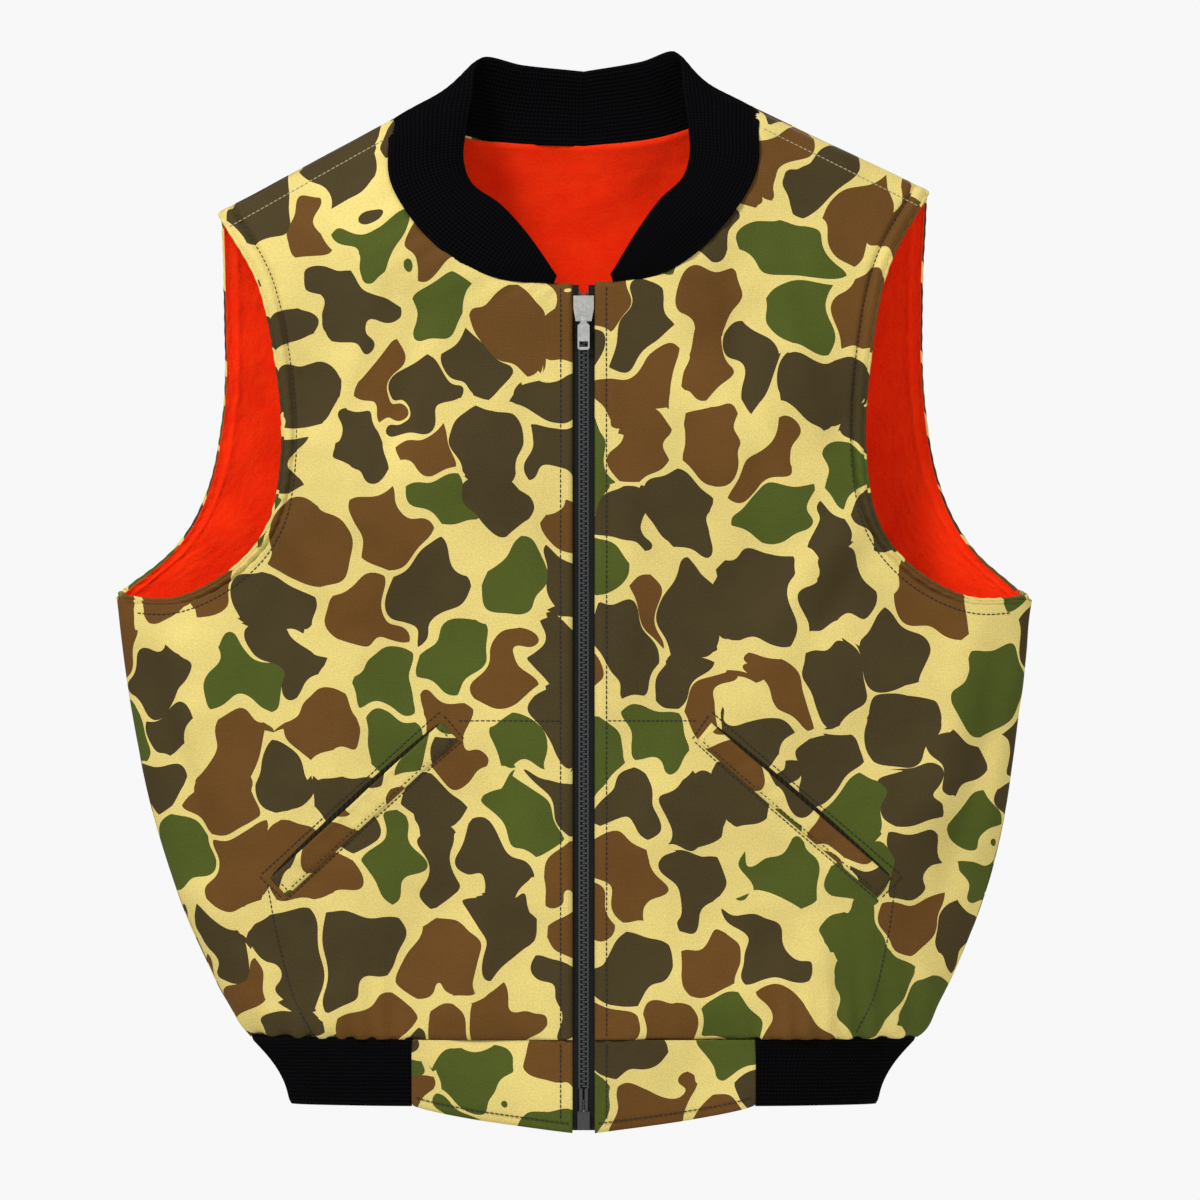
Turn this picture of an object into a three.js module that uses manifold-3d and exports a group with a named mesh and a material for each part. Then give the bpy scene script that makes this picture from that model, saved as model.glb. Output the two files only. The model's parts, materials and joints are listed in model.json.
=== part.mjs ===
// Reversible zip-front hunting vest, as it hangs by its shoulders.
// Millimetres, +Z up, +X to the viewer's right, the zipped front faces -Y.
// The origin is the middle of the neck opening at the height where a hanger bears inside the shoulders.
// "right" and "left" are the wearer's sides, so the right front lies at -X.
import * as THREE from 'three';
import { mergeVertices } from 'three/addons/utils/BufferGeometryUtils.js';
import Module from 'manifold-3d';

const wasm = await Module();
wasm.setup();

// ---- driving dimensions ----

// body outline
const CHEST_HALF_WIDTH = 297; // half of the flat width, pit to pit
const SHOULDER_TIP_X = 230;
const SHOULDER_TIP_Z = -43.5;
const NECK_POINT_X = 116; // where the shoulder seam meets the collar
const NECK_POINT_Z = 14;
const UNDERARM_Z = -302;
const WAIST_SEAM_Z = -587;
const WAIST_HALF_WIDTH = 217; // half of the flat width where the body joins the waist rib
const FRONT_NECK_Z = -98; // top of the front edges
const BACK_NECK_Z = -5; // lowest point of the back neck seam
const FRONT_DEPTH = 45; // from the middle plane to the zipped front
const BACK_DEPTH = 43;
const SHOULDER_ROLL = 110; // drop over which the body reaches its full depth below the shoulder

// cloth
const SHELL_THICKNESS = 1.0; // cotton-blend poplin
const LINING_THICKNESS = 2.5; // fleece
const COLLAR_THICKNESS = 4.0; // rib knit, double
const WAIST_RIB_THICKNESS = 3.2; // rib knit, double
const WAISTBAND_THICKNESS = 3.6; // poplin, double, with its seam allowances
const POCKET_BAG_THICKNESS = 1.5; // two layers of pocketing
const WELT_THICKNESS = 1.2;
const LAYER_GAP = 0.3; // between one layer and the next
const SEAM_GAP = 0.8; // between two pieces that are sewn edge to edge
const COLLAR_SEAM_GAP = 3.6; // the same on the curved neck seam

// waist
const RIB_FRONT_X = 111; // where the front waistband meets the rib
const RIB_DEPTH = 43; // height of the rib
const WAISTBAND_DEPTH_FRONT = 60; // height of the waistband beside the zip
const WAISTBAND_DEPTH_SIDE = 42; // height of the waistband beside the rib
const HEM_HALF_WIDTH = 192; // half of the flat width at the bottom of the rib

// pockets
const WELT_LENGTH = 152;
const WELT_WIDTH = 15.5;
const WELT_TOP_X = 82;
const WELT_ABOVE_WAIST = 199; // from the waist seam up to the welt's top end
const WELT_SLOPE = 41.5 * Math.PI / 180; // below the horizontal, towards the side
const BAG_FRONT_X = 16;
const BAG_COLUMN = 19; // width of one column of the bag's facets
const BAG_SIDE_DRAFT = 24; // how far the bag's side edge draws in on its way down

// zip
const ZIP_SLOT_HALF = 7.2; // from the centre line to the edge of each front
const TAPE_TOP_Z = -99.5;
const TAPE_OUTER_X = 14.5;
const TAPE_THICKNESS = 0.8;
const CHAIN_HALF_WIDTH = 2.8;
const CHAIN_THICKNESS = 2.4;
const TOOTH_PITCH = 3.2;
const TOOTH_HEIGHT = 1.5;
const BEAD_WIDTH = 0.8;
const SLIDER_TOP_Z = -106.5;
const SLIDER_LENGTH = 16.5;
const SLIDER_HALF_WIDTH = 6.6;
const SLIDER_PLATE = 1.4;
const SLIDER_NECK_HALF = 0.4;
const RUNNING_GAP = 0.35; // between the slider and what it runs over
const TAB_LENGTH = 20.5;
const TAB_HALF_WIDTH = 3.85;
const TAB_THICKNESS = 1.2;
const TAB_NECK_HALF = 2.0;
const TAB_PIVOT_RADIUS = 0.6;
const TAB_EYE_RADIUS = 0.95;
const TAB_WINDOW = [5.8, 3.6]; // width and height of the slot near the tab's end
const CROWN_CHEEK = 0.9;
const BOX_HALF_WIDTH = 3.95;
const BOX_LENGTH = 11.6;
const BOX_THICKNESS = 5.2;
const BOX_RISE = 14.4; // from the bottom of the waistband beside the zip up to the top of the box
const PIN_LENGTH = 15;

// each front swings about a slanted line just in front of the cloth
const FOLD_TOP_X = 112; // at Z 0
const FOLD_SPREAD = 116 / 587; // how far the line leans outwards for each millimetre down
const FOLD_GAP = 0.5;
const NECK_ROWS = 1 / 3; // share of a front's rows of cloth that start at the neck
const UNDERARM_ROW_START = 0.78; // share of the front's inner edge where the row to the underarm starts
const CUT_TOLERANCE = 0.05; // slivers left by a cut that are smaller than this are merged away

// ---- outlines of one half, in X and Z ----

const armholeFront = new THREE.CatmullRomCurve3([
  [SHOULDER_TIP_X, SHOULDER_TIP_Z], [203, -92], [190, -156], [188, -212], [197, -256],
  [CHEST_HALF_WIDTH - 76, -285], [CHEST_HALF_WIDTH - 39, -303], [CHEST_HALF_WIDTH, UNDERARM_Z],
].map(([x, z]) => new THREE.Vector3(x, 0, z)));

const armholeBack = new THREE.CatmullRomCurve3([
  [SHOULDER_TIP_X, SHOULDER_TIP_Z], [228, -110], [229, -178], [CHEST_HALF_WIDTH - 56, -236],
  [CHEST_HALF_WIDTH - 35, -272], [CHEST_HALF_WIDTH, UNDERARM_Z],
].map(([x, z]) => new THREE.Vector3(x, 0, z)));

const neckFront = [
  [19, FRONT_NECK_Z], [51, -93], [80, -77], [104, -51], [117, -26], [118, -4], [NECK_POINT_X, NECK_POINT_Z],
];
const neckBack = [[NECK_POINT_X, NECK_POINT_Z], [88, 8], [50, -1], [0, BACK_NECK_Z]];

// half width of the flat body at a height, below the underarm
function bodyHalfWidth(z) {
  if (z > UNDERARM_Z) {
    const rise = (z - UNDERARM_Z) / (SHOULDER_TIP_Z - UNDERARM_Z);
    return CHEST_HALF_WIDTH - 22 * Math.min(rise, 1);
  }
  if (z > WAIST_SEAM_Z) {
    const drop = (UNDERARM_Z - z) / (UNDERARM_Z - WAIST_SEAM_Z);
    return THREE.MathUtils.lerp(CHEST_HALF_WIDTH, WAIST_HALF_WIDTH, 0.38 * drop + 0.62 * drop ** 3.2);
  }
  const drop = Math.min((WAIST_SEAM_Z - z) / RIB_DEPTH, 1);
  return THREE.MathUtils.lerp(HEM_HALF_WIDTH, WAIST_HALF_WIDTH, (1 - drop) ** 2);
}

function shoulderHeight(x) {
  const slope = (SHOULDER_TIP_Z - NECK_POINT_Z) / (SHOULDER_TIP_X - NECK_POINT_X);
  return NECK_POINT_Z + slope * Math.max(Math.abs(x) - NECK_POINT_X, 0);
}

// how far the cloth stands from the middle plane at a place, as a share of the full depth
function fullness(x, z) {
  const across = Math.min(Math.abs(x) / bodyHalfWidth(z), 1);
  const drop = THREE.MathUtils.clamp((shoulderHeight(x) - z) / SHOULDER_ROLL, 0, 1);
  return Math.sqrt(1 - across ** 2.2) * Math.sqrt(1 - (1 - drop) ** 2);
}

const onFront = (x, z) => new THREE.Vector3(x, -FRONT_DEPTH * fullness(x, z), z);
const onBack = (x, z) => new THREE.Vector3(x, BACK_DEPTH * fullness(x, z), z);

// ---- curves and patches in the X-Z plane ----

// a point at a share of the length of a row of curves joined end to end
function along(curves) {
  const lengths = curves.map((c) => c.getLength());
  const total = lengths.reduce((a, b) => a + b);
  return (t) => {
    let left = t * total;
    let i = 0;
    while (i < curves.length - 1 && left > lengths[i]) {
      left -= lengths[i];
      i += 1;
    }
    return curves[i].getPointAt(Math.min(left / lengths[i], 1));
  };
}

const flatPoint = (x, z) => new THREE.Vector3(x, 0, z);
const straight = (x0, z0, x1, z1) => new THREE.LineCurve3(flatPoint(x0, z0), flatPoint(x1, z1));
const smooth = (points) => new THREE.CatmullRomCurve3(points.map(([x, z]) => flatPoint(x, z)));

// fills the space between four edges: top and bottom run outwards, inner and outer run down
function patch(top, bottom, inner, outer) {
  const corners = [top(0), top(1), bottom(0), bottom(1)];
  return (u, v) => {
    const p = inner(v).multiplyScalar(1 - u).addScaledVector(outer(v), u);
    p.addScaledVector(top(u), 1 - v).addScaledVector(bottom(u), v);
    p.addScaledVector(corners[0], -(1 - u) * (1 - v)).addScaledVector(corners[1], -u * (1 - v));
    return p.addScaledVector(corners[2], -(1 - u) * v).addScaledVector(corners[3], -u * v);
  };
}

const sideSeam = () => smooth([0, 0.25, 0.5, 0.7, 0.85, 1].map((t) => {
  const z = THREE.MathUtils.lerp(UNDERARM_Z, WAIST_SEAM_Z, t);
  return [bodyHalfWidth(z), z];
}));
const shoulderSeam = () => straight(NECK_POINT_X, NECK_POINT_Z, SHOULDER_TIP_X, SHOULDER_TIP_Z);

// The front's inner edge runs from the shoulder round the neck and down the zip. Rows that reach the
// underarm start well below it at the zip, or they would cross the armhole's lowest edge.
function frontPatch(edgeX) {
  const neck = [smooth([...neckFront].reverse()), straight(...neckFront[0], edgeX, FRONT_NECK_Z)];
  const zipEdge = straight(edgeX, FRONT_NECK_Z, edgeX, WAIST_SEAM_Z);
  const innerEdge = along([...neck, zipEdge]);
  const neckLength = neck[0].getLength() + neck[1].getLength();
  const neckShare = neckLength / (neckLength + zipEdge.getLength());
  const armholeShare = armholeFront.getLength() / (armholeFront.getLength() + sideSeam().getLength());
  const rowStart = (v) => {
    if (v < NECK_ROWS) return (v / NECK_ROWS) * neckShare;
    if (v < armholeShare) return THREE.MathUtils.mapLinear(v, NECK_ROWS, armholeShare, neckShare, UNDERARM_ROW_START);
    return THREE.MathUtils.mapLinear(v, armholeShare, 1, UNDERARM_ROW_START, 1);
  };
  return patch(
    along([shoulderSeam()]),
    along([straight(edgeX, WAIST_SEAM_Z, WAIST_HALF_WIDTH, WAIST_SEAM_Z)]),
    (v) => innerEdge(rowStart(v)),
    along([armholeFront, sideSeam()]),
  );
}

function backPatch() {
  return patch(
    along([smooth([...neckBack].reverse()), shoulderSeam()]),
    along([straight(0, WAIST_SEAM_Z, WAIST_HALF_WIDTH, WAIST_SEAM_Z)]),
    along([straight(0, BACK_NECK_Z, 0, WAIST_SEAM_Z)]),
    along([armholeBack, sideSeam()]),
  );
}

// ---- solids ----

function geometryOf(vertices, triangles) {
  const g = new THREE.BufferGeometry();
  g.setAttribute('position', new THREE.Float32BufferAttribute(vertices, 3));
  g.setIndex(triangles);
  return g;
}

function volumeOf(g) {
  const p = g.attributes.position;
  const [a, b, c] = [0, 1, 2].map(() => new THREE.Vector3());
  let sum = 0;
  for (let i = 0; i < g.index.count; i += 3) {
    a.fromBufferAttribute(p, g.index.getX(i));
    b.fromBufferAttribute(p, g.index.getX(i + 1));
    c.fromBufferAttribute(p, g.index.getX(i + 2));
    sum += a.dot(b.cross(c)) / 6;
  }
  return sum;
}

function facingOut(g) {
  if (volumeOf(g) < 0) {
    const turned = [...g.index.array];
    for (let i = 0; i < turned.length; i += 3) [turned[i], turned[i + 1]] = [turned[i + 1], turned[i]];
    g.setIndex(turned);
  }
  return g;
}

// A closed layer of cloth between two depths behind a surface. surface(u, v) gives the points,
// outwards tells which way the surface faces, and keep moves a finished point where it must stay clear.
function layer(surface, columns, rows, fromDepth, toDepth, outwards, keep = (p) => p) {
  const at = (i, j) => surface(THREE.MathUtils.clamp(i / columns, 0, 1), THREE.MathUtils.clamp(j / rows, 0, 1));
  const vertices = [];
  const middle = normalAt(columns / 2, rows / 2);
  const sign = Math.sign(middle.dot(outwards));
  function normalAt(i, j) {
    const du = at(Math.min(i + 0.5, columns), j).sub(at(Math.max(i - 0.5, 0), j));
    const dv = at(i, Math.min(j + 0.5, rows)).sub(at(i, Math.max(j - 0.5, 0)));
    return du.cross(dv).normalize();
  }
  for (const depth of [fromDepth, toDepth]) {
    for (let j = 0; j <= rows; j += 1) {
      for (let i = 0; i <= columns; i += 1) {
        vertices.push(...keep(at(i, j).addScaledVector(normalAt(i, j), -depth * sign)).toArray());
      }
    }
  }
  const width = columns + 1;
  const shift = width * (rows + 1);
  const triangles = [];
  const quad = (a, b, c, d) => triangles.push(a, b, c, a, c, d);
  for (let j = 0; j < rows; j += 1) {
    for (let i = 0; i < columns; i += 1) {
      const a = j * width + i;
      quad(a, a + 1, a + width + 1, a + width);
      quad(shift + a, shift + a + width, shift + a + width + 1, shift + a + 1);
    }
  }
  for (let i = 0; i < columns; i += 1) {
    const last = rows * width + i;
    quad(i + 1, i, shift + i, shift + i + 1);
    quad(last, last + 1, shift + last + 1, shift + last);
  }
  for (let j = 0; j < rows; j += 1) {
    const a = j * width;
    const b = a + columns;
    quad(a, a + width, shift + a + width, shift + a);
    quad(b + width, b, shift + b, shift + b + width);
  }
  return facingOut(geometryOf(vertices, triangles));
}

// the same mesh with positions only and its shared vertices merged
function welded(g) {
  const bare = g.clone();
  for (const name of Object.keys(bare.attributes)) if (name !== 'position') bare.deleteAttribute(name);
  return mergeVertices(bare, 1e-4);
}

function mirrored(g) {
  return facingOut(welded(g).applyMatrix4(new THREE.Matrix4().makeScale(-1, 1, 1)));
}

function solidOf(g) {
  const merged = welded(g);
  return new wasm.Manifold(new wasm.Mesh({
    numProp: 3,
    vertProperties: new Float32Array(merged.attributes.position.array),
    triVerts: new Uint32Array(merged.index.array),
  }));
}

function fromSolid(solid) {
  const m = solid.simplify(CUT_TOLERANCE).getMesh();
  return geometryOf([...m.vertProperties], [...m.triVerts]);
}

function boxBetween(low, high) {
  const size = high.map((h, i) => h - low[i]);
  return new THREE.BoxGeometry(...size).translate(...high.map((h, i) => (h + low[i]) / 2));
}

// a flat plate in X and Z, of a thickness in Y centred on y
function plate(shape, thickness, y) {
  const g = new THREE.ExtrudeGeometry(shape, { depth: thickness, bevelEnabled: false, curveSegments: 6 });
  return g.rotateX(Math.PI / 2).translate(0, y + thickness / 2, 0);
}

// everything that lies inboard of the fold line of the left front
function inboardOfFold(gap) {
  const outer = FOLD_TOP_X - gap;
  const shape = new THREE.Shape();
  shape.moveTo(-50, 100);
  shape.lineTo(outer - 100 * FOLD_SPREAD, 100);
  shape.lineTo(outer + 900 * FOLD_SPREAD, -900);
  shape.lineTo(-50, -900);
  shape.closePath();
  return solidOf(plate(shape, 300, 0));
}

const swinging = (g) => fromSolid(solidOf(g).intersect(inboardOfFold(FOLD_GAP)));
const standing = (g) => fromSolid(solidOf(g).subtract(inboardOfFold(-FOLD_GAP)));

// ---- materials ----

const finish = (color, roughness, metalness = 0) => new THREE.MeshStandardMaterial({ color, roughness, metalness });
const poplin = finish('#5b5a2f', 0.8);
const fleece = finish('#fe2a06', 0.95);
const knit = finish('#07080b', 0.9);
const pocketing = finish('#3d3a2a', 0.9);
const tapeCloth = finish('#121310', 0.85);
const acetal = finish('#17181a', 0.45);
const nickel = finish('#b9bab8', 0.3, 1);

const vest = new THREE.Group();
function add(name, geometry, material) {
  const mesh = new THREE.Mesh(geometry, material);
  mesh.name = name;
  vest.add(mesh);
}

// adds a piece of the left side and its mirror image on the right
function addPair(name, geometry, material) {
  add(`${name}_left`, geometry, material);
  add(`${name}_right`, mirrored(geometry), material);
}

// ---- body cloth ----

const FRONT = new THREE.Vector3(0, -1, 0);
const BACK = new THREE.Vector3(0, 1, 0);
const liningDepth = SHELL_THICKNESS + POCKET_BAG_THICKNESS + 2 * LAYER_GAP;
const towardsSide = (t) => 1 - (1 - t) ** 1.5; // closer columns where the cloth rounds the side
const inFront = (p) => p.setY(Math.min(p.y, -SEAM_GAP / 2));
const behind = (p) => p.setY(Math.max(p.y, SEAM_GAP / 2));

function frontLayer(edgeX, fromDepth, toDepth) {
  const domain = frontPatch(edgeX);
  const surface = (u, v) => {
    const p = domain(towardsSide(u), v);
    return onFront(p.x, p.z);
  };
  return layer(surface, 10, 18, fromDepth, toDepth, FRONT, inFront);
}

function backLayer(fromDepth, toDepth) {
  const domain = backPatch();
  const surface = (u, v) => {
    const side = 2 * u - 1;
    const p = domain(towardsSide(Math.abs(side)), v);
    return onBack(Math.sign(side) * p.x, p.z);
  };
  return layer(surface, 20, 14, fromDepth, toDepth, BACK, behind);
}

const shellFront = frontLayer(ZIP_SLOT_HALF, 0, SHELL_THICKNESS);
addPair('shell_front', swinging(shellFront), poplin);
addPair('shell_side', standing(shellFront), poplin);
add('shell_back', backLayer(0, SHELL_THICKNESS), poplin);

const liningFront = frontLayer(ZIP_SLOT_HALF + RUNNING_GAP, liningDepth, liningDepth + LINING_THICKNESS);
addPair('lining_front', swinging(liningFront), fleece);
addPair('lining_side', standing(liningFront), fleece);
add('lining_back', backLayer(liningDepth, liningDepth + LINING_THICKNESS), fleece);

// ---- collar ----

// the seam and the free edge run from the front end, over the shoulder, to the middle of the back
const seamPoints = [
  ...neckFront.map(([x, z]) => onFront(x, z)),
  ...neckBack.slice(1).map(([x, z]) => onBack(x, z)),
];
const freePoints = [
  [17.5, -FRONT_DEPTH - 0.5, -93], [35, -FRONT_DEPTH, -66], [51, -FRONT_DEPTH + 3, -46],
  [68, -FRONT_DEPTH + 11, -31], [73, -FRONT_DEPTH + 18, -16],
  [72, -18, 4], [69, -7, 27], [64, 6, 52], [38, BACK_DEPTH - 24, 47], [0, BACK_DEPTH - 19, 42],
].map((p) => new THREE.Vector3(...p));
const collarSeam = new THREE.CatmullRomCurve3(seamPoints);
const collarEdge = new THREE.CatmullRomCurve3(freePoints);
const COLLAR_SPLIT = 4 / 9; // where the swinging front of the collar ends, just below the shoulder
const COLLAR_SPLIT_GAP = 0.003;
const COLLAR_BACK_GAP = 0.02; // wider, so that the corner of the swinging front passes it

// w runs across the band, from just clear of the seam to the free edge
function collarPoint(t, w) {
  const seam = collarSeam.getPoint(t);
  const edge = collarEdge.getPoint(t);
  const inset = Math.min(COLLAR_SEAM_GAP / seam.distanceTo(edge), 0.4);
  return seam.lerp(edge, THREE.MathUtils.lerp(inset, 1, w));
}

const collarFront = layer(
  (u, v) => collarPoint(u * (COLLAR_SPLIT - COLLAR_SPLIT_GAP), v),
  12, 3, 0, COLLAR_THICKNESS, new THREE.Vector3(0, -1, 0.3),
);
addPair('collar_front', collarFront, knit);

function collarBackPoint(u, v) {
  const side = 1 - 2 * u;
  const t = 1 - Math.abs(side) * (1 - COLLAR_SPLIT - COLLAR_BACK_GAP);
  const p = collarPoint(t, v);
  return p.setX(Math.sign(side) * p.x);
}
add('collar_back', layer(collarBackPoint, 26, 3, 0, COLLAR_THICKNESS, new THREE.Vector3(0, 1, 0)), knit);

// ---- waist ----

const bandTop = WAIST_SEAM_Z - SEAM_GAP;

function waistbandPoint(u, v) {
  const x = THREE.MathUtils.lerp(ZIP_SLOT_HALF, RIB_FRONT_X - SEAM_GAP / 2, u);
  const height = THREE.MathUtils.lerp(WAISTBAND_DEPTH_SIDE, WAISTBAND_DEPTH_FRONT, (1 - u) ** 0.7);
  return onFront(x, bandTop - height * v);
}
const chainY = -FRONT_DEPTH + SHELL_THICKNESS + LAYER_GAP + TAPE_THICKNESS / 2;
const tapeY = [chainY - TAPE_THICKNESS / 2, chainY + TAPE_THICKNESS / 2];
// the tape runs down between the waistband's two layers
const tapeSlot = solidOf(boxBetween(
  [0, tapeY[0] - LAYER_GAP, bandTop - WAISTBAND_DEPTH_FRONT - 2],
  [TAPE_OUTER_X + LAYER_GAP, tapeY[1] + LAYER_GAP, bandTop + 2],
));
const waistband = solidOf(layer(waistbandPoint, 6, 2, 0, WAISTBAND_THICKNESS, FRONT));
addPair('waistband_front', fromSolid(waistband.subtract(tapeSlot)), poplin);

const ribHeight = (v) => bandTop - RIB_DEPTH * v;
function ribFrontPoint(u, v) {
  const z = ribHeight(v);
  const share = 1 - (1 - u) ** 1.7;
  return onFront(THREE.MathUtils.lerp(RIB_FRONT_X + SEAM_GAP / 2, bodyHalfWidth(z), share), z);
}
addPair('waist_rib_front', layer(ribFrontPoint, 7, 2, 0, WAIST_RIB_THICKNESS, FRONT, inFront), knit);

function ribBackPoint(u, v) {
  const z = ribHeight(v);
  const side = 2 * u - 1;
  return onBack(Math.sign(side) * bodyHalfWidth(z) * towardsSide(Math.abs(side)), z);
}
add('waist_rib_back', layer(ribBackPoint, 20, 2, 0, WAIST_RIB_THICKNESS, BACK, behind), knit);

// ---- pockets ----

const weltTopZ = WAIST_SEAM_Z + WELT_ABOVE_WAIST;
function weltPoint(u, v) {
  const x = WELT_TOP_X + u * WELT_LENGTH * Math.cos(WELT_SLOPE) + (0.5 - v) * WELT_WIDTH * Math.sin(WELT_SLOPE);
  const z = weltTopZ - u * WELT_LENGTH * Math.sin(WELT_SLOPE) + (0.5 - v) * WELT_WIDTH * Math.cos(WELT_SLOPE);
  return onFront(x, z);
}
addPair('pocket_welt', layer(weltPoint, 10, 1, -LAYER_GAP - WELT_THICKNESS, -LAYER_GAP, FRONT), poplin);

const weltEndX = WELT_TOP_X + WELT_LENGTH * Math.cos(WELT_SLOPE);
const weltEndZ = weltTopZ - WELT_LENGTH * Math.sin(WELT_SLOPE);
const bagBottomZ = WAIST_SEAM_Z + 2;
const bagPatch = patch(
  along([straight(BAG_FRONT_X, weltTopZ + 6, WELT_TOP_X, weltTopZ + 6), straight(WELT_TOP_X, weltTopZ + 6, weltEndX, weltEndZ)]),
  along([straight(BAG_FRONT_X, bagBottomZ, weltEndX - BAG_SIDE_DRAFT, bagBottomZ)]),
  along([straight(BAG_FRONT_X, weltTopZ + 6, BAG_FRONT_X, bagBottomZ)]),
  along([straight(weltEndX, weltEndZ, weltEndX - BAG_SIDE_DRAFT, bagBottomZ)]),
);
function bagPoint(u, v) {
  const p = bagPatch(u, v);
  return onFront(p.x, p.z);
}
const bagDepth = SHELL_THICKNESS + LAYER_GAP;
const bagColumns = Math.round(WELT_LENGTH / BAG_COLUMN);
addPair('pocket_bag', layer(bagPoint, bagColumns, 6, bagDepth, bagDepth + POCKET_BAG_THICKNESS, FRONT), pocketing);

// ---- zip ----

const boxTopZ = bandTop - WAISTBAND_DEPTH_FRONT + BOX_RISE;
const tapeInnerX = CHAIN_HALF_WIDTH + LAYER_GAP;
const chainYs = [chainY - CHAIN_THICKNESS / 2, chainY + CHAIN_THICKNESS / 2];
const tabPivotZ = SLIDER_TOP_Z - SLIDER_LENGTH + 2;
const tabBottomZ = tabPivotZ - TAB_LENGTH;
const pinTopZ = boxTopZ + PIN_LENGTH;
const toothTipX = SLIDER_NECK_HALF + RUNNING_GAP;

add('zip_tape_right', boxBetween(
  [-TAPE_OUTER_X, tapeY[0], boxTopZ + LAYER_GAP], [-tapeInnerX, tapeY[1], TAPE_TOP_Z],
), tapeCloth);

// the left tape keeps clear of the slider and its tab, which ride on the right front
const leftStartZ = tabBottomZ - 1;
function leftTape() {
  const shape = new THREE.Shape();
  shape.moveTo(TAPE_OUTER_X, TAPE_TOP_Z);
  shape.lineTo(TAPE_OUTER_X, boxTopZ + LAYER_GAP);
  shape.lineTo(tapeInnerX, boxTopZ + LAYER_GAP);
  shape.lineTo(tapeInnerX, leftStartZ);
  shape.lineTo(ZIP_SLOT_HALF, leftStartZ);
  shape.lineTo(ZIP_SLOT_HALF, TAPE_TOP_Z);
  shape.closePath();
  return plate(shape, TAPE_THICKNESS, chainY);
}
add('zip_tape_left', leftTape(), tapeCloth);

// a bead along the tape with a tooth at each pitch, on the +X side; shift moves the teeth along it
function toothRow(topZ, bottomZ, shift) {
  const beadX = CHAIN_HALF_WIDTH - BEAD_WIDTH;
  const shape = new THREE.Shape();
  shape.moveTo(CHAIN_HALF_WIDTH, topZ);
  shape.lineTo(CHAIN_HALF_WIDTH, bottomZ);
  shape.lineTo(beadX, bottomZ);
  const first = Math.ceil((bottomZ - shift) / TOOTH_PITCH + 0.01);
  const last = Math.floor((topZ - TOOTH_HEIGHT - shift) / TOOTH_PITCH - 0.01);
  for (let n = first; n <= last; n += 1) {
    const z = n * TOOTH_PITCH + shift;
    shape.lineTo(beadX, z);
    shape.lineTo(toothTipX, z);
    shape.lineTo(toothTipX, z + TOOTH_HEIGHT);
    shape.lineTo(beadX, z + TOOTH_HEIGHT);
  }
  shape.lineTo(beadX, topZ);
  shape.closePath();
  return plate(shape, CHAIN_THICKNESS, chainY);
}
add('tooth_row_left', toothRow(leftStartZ, pinTopZ + LAYER_GAP, 0), acetal);
add('tooth_row_right', mirrored(toothRow(SLIDER_TOP_Z, pinTopZ + LAYER_GAP, TOOTH_PITCH / 2)), acetal);

const stopSize = 2;
addPair('top_stop', boxBetween(
  [toothTipX, chainYs[0], SLIDER_TOP_Z + LAYER_GAP],
  [CHAIN_HALF_WIDTH, chainYs[1], SLIDER_TOP_Z + LAYER_GAP + stopSize],
), acetal);

const bottomPin = boxBetween(
  [toothTipX, chainYs[0], boxTopZ + LAYER_GAP],
  [CHAIN_HALF_WIDTH, chainYs[1], pinTopZ],
);
add('insertion_pin', bottomPin, acetal);
add('retainer_pin', mirrored(bottomPin), acetal);

const boxY = chainY - 0.3;
add('retainer_box', boxBetween(
  [-BOX_HALF_WIDTH, boxY - BOX_THICKNESS / 2, boxTopZ - BOX_LENGTH],
  [BOX_HALF_WIDTH, boxY + BOX_THICKNESS / 2, boxTopZ],
), acetal);

// ---- slider ----

const channelHalf = CHAIN_THICKNESS / 2 + RUNNING_GAP;
const frontPlateY = chainY - channelHalf - SLIDER_PLATE / 2;
const backPlateY = chainY + channelHalf + SLIDER_PLATE / 2;
const sliderBottomZ = SLIDER_TOP_Z - SLIDER_LENGTH;

function sliderWing(y) {
  const taper = 1.5;
  const shape = new THREE.Shape();
  shape.moveTo(-SLIDER_HALF_WIDTH, SLIDER_TOP_Z);
  shape.lineTo(SLIDER_HALF_WIDTH, SLIDER_TOP_Z);
  shape.lineTo(SLIDER_HALF_WIDTH, SLIDER_TOP_Z - SLIDER_LENGTH / 2);
  shape.lineTo(SLIDER_HALF_WIDTH - taper, sliderBottomZ);
  shape.lineTo(-SLIDER_HALF_WIDTH + taper, sliderBottomZ);
  shape.lineTo(-SLIDER_HALF_WIDTH, SLIDER_TOP_Z - SLIDER_LENGTH / 2);
  shape.closePath();
  return solidOf(plate(shape, SLIDER_PLATE, y));
}

const neckOverlap = 0.2;
const sliderNeck = solidOf(boxBetween(
  [-SLIDER_NECK_HALF, chainY - channelHalf - neckOverlap, SLIDER_TOP_Z - SLIDER_LENGTH * 0.45],
  [SLIDER_NECK_HALF, chainY + channelHalf + neckOverlap, SLIDER_TOP_Z],
));
add('slider_body', fromSolid(sliderWing(frontPlateY).add(sliderWing(backPlateY)).add(sliderNeck)), nickel);

// the crown is a stirrup on the front wing: two cheeks and the pin that the tab hangs on
const pivotY = frontPlateY - SLIDER_PLATE / 2 - LAYER_GAP - 2.1;
const cheekInner = TAB_NECK_HALF + RUNNING_GAP;
const cheekBack = frontPlateY - SLIDER_PLATE / 2 - LAYER_GAP;
const cheekFront = pivotY - 1.0;
const crownTopZ = tabPivotZ + 7;
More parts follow.
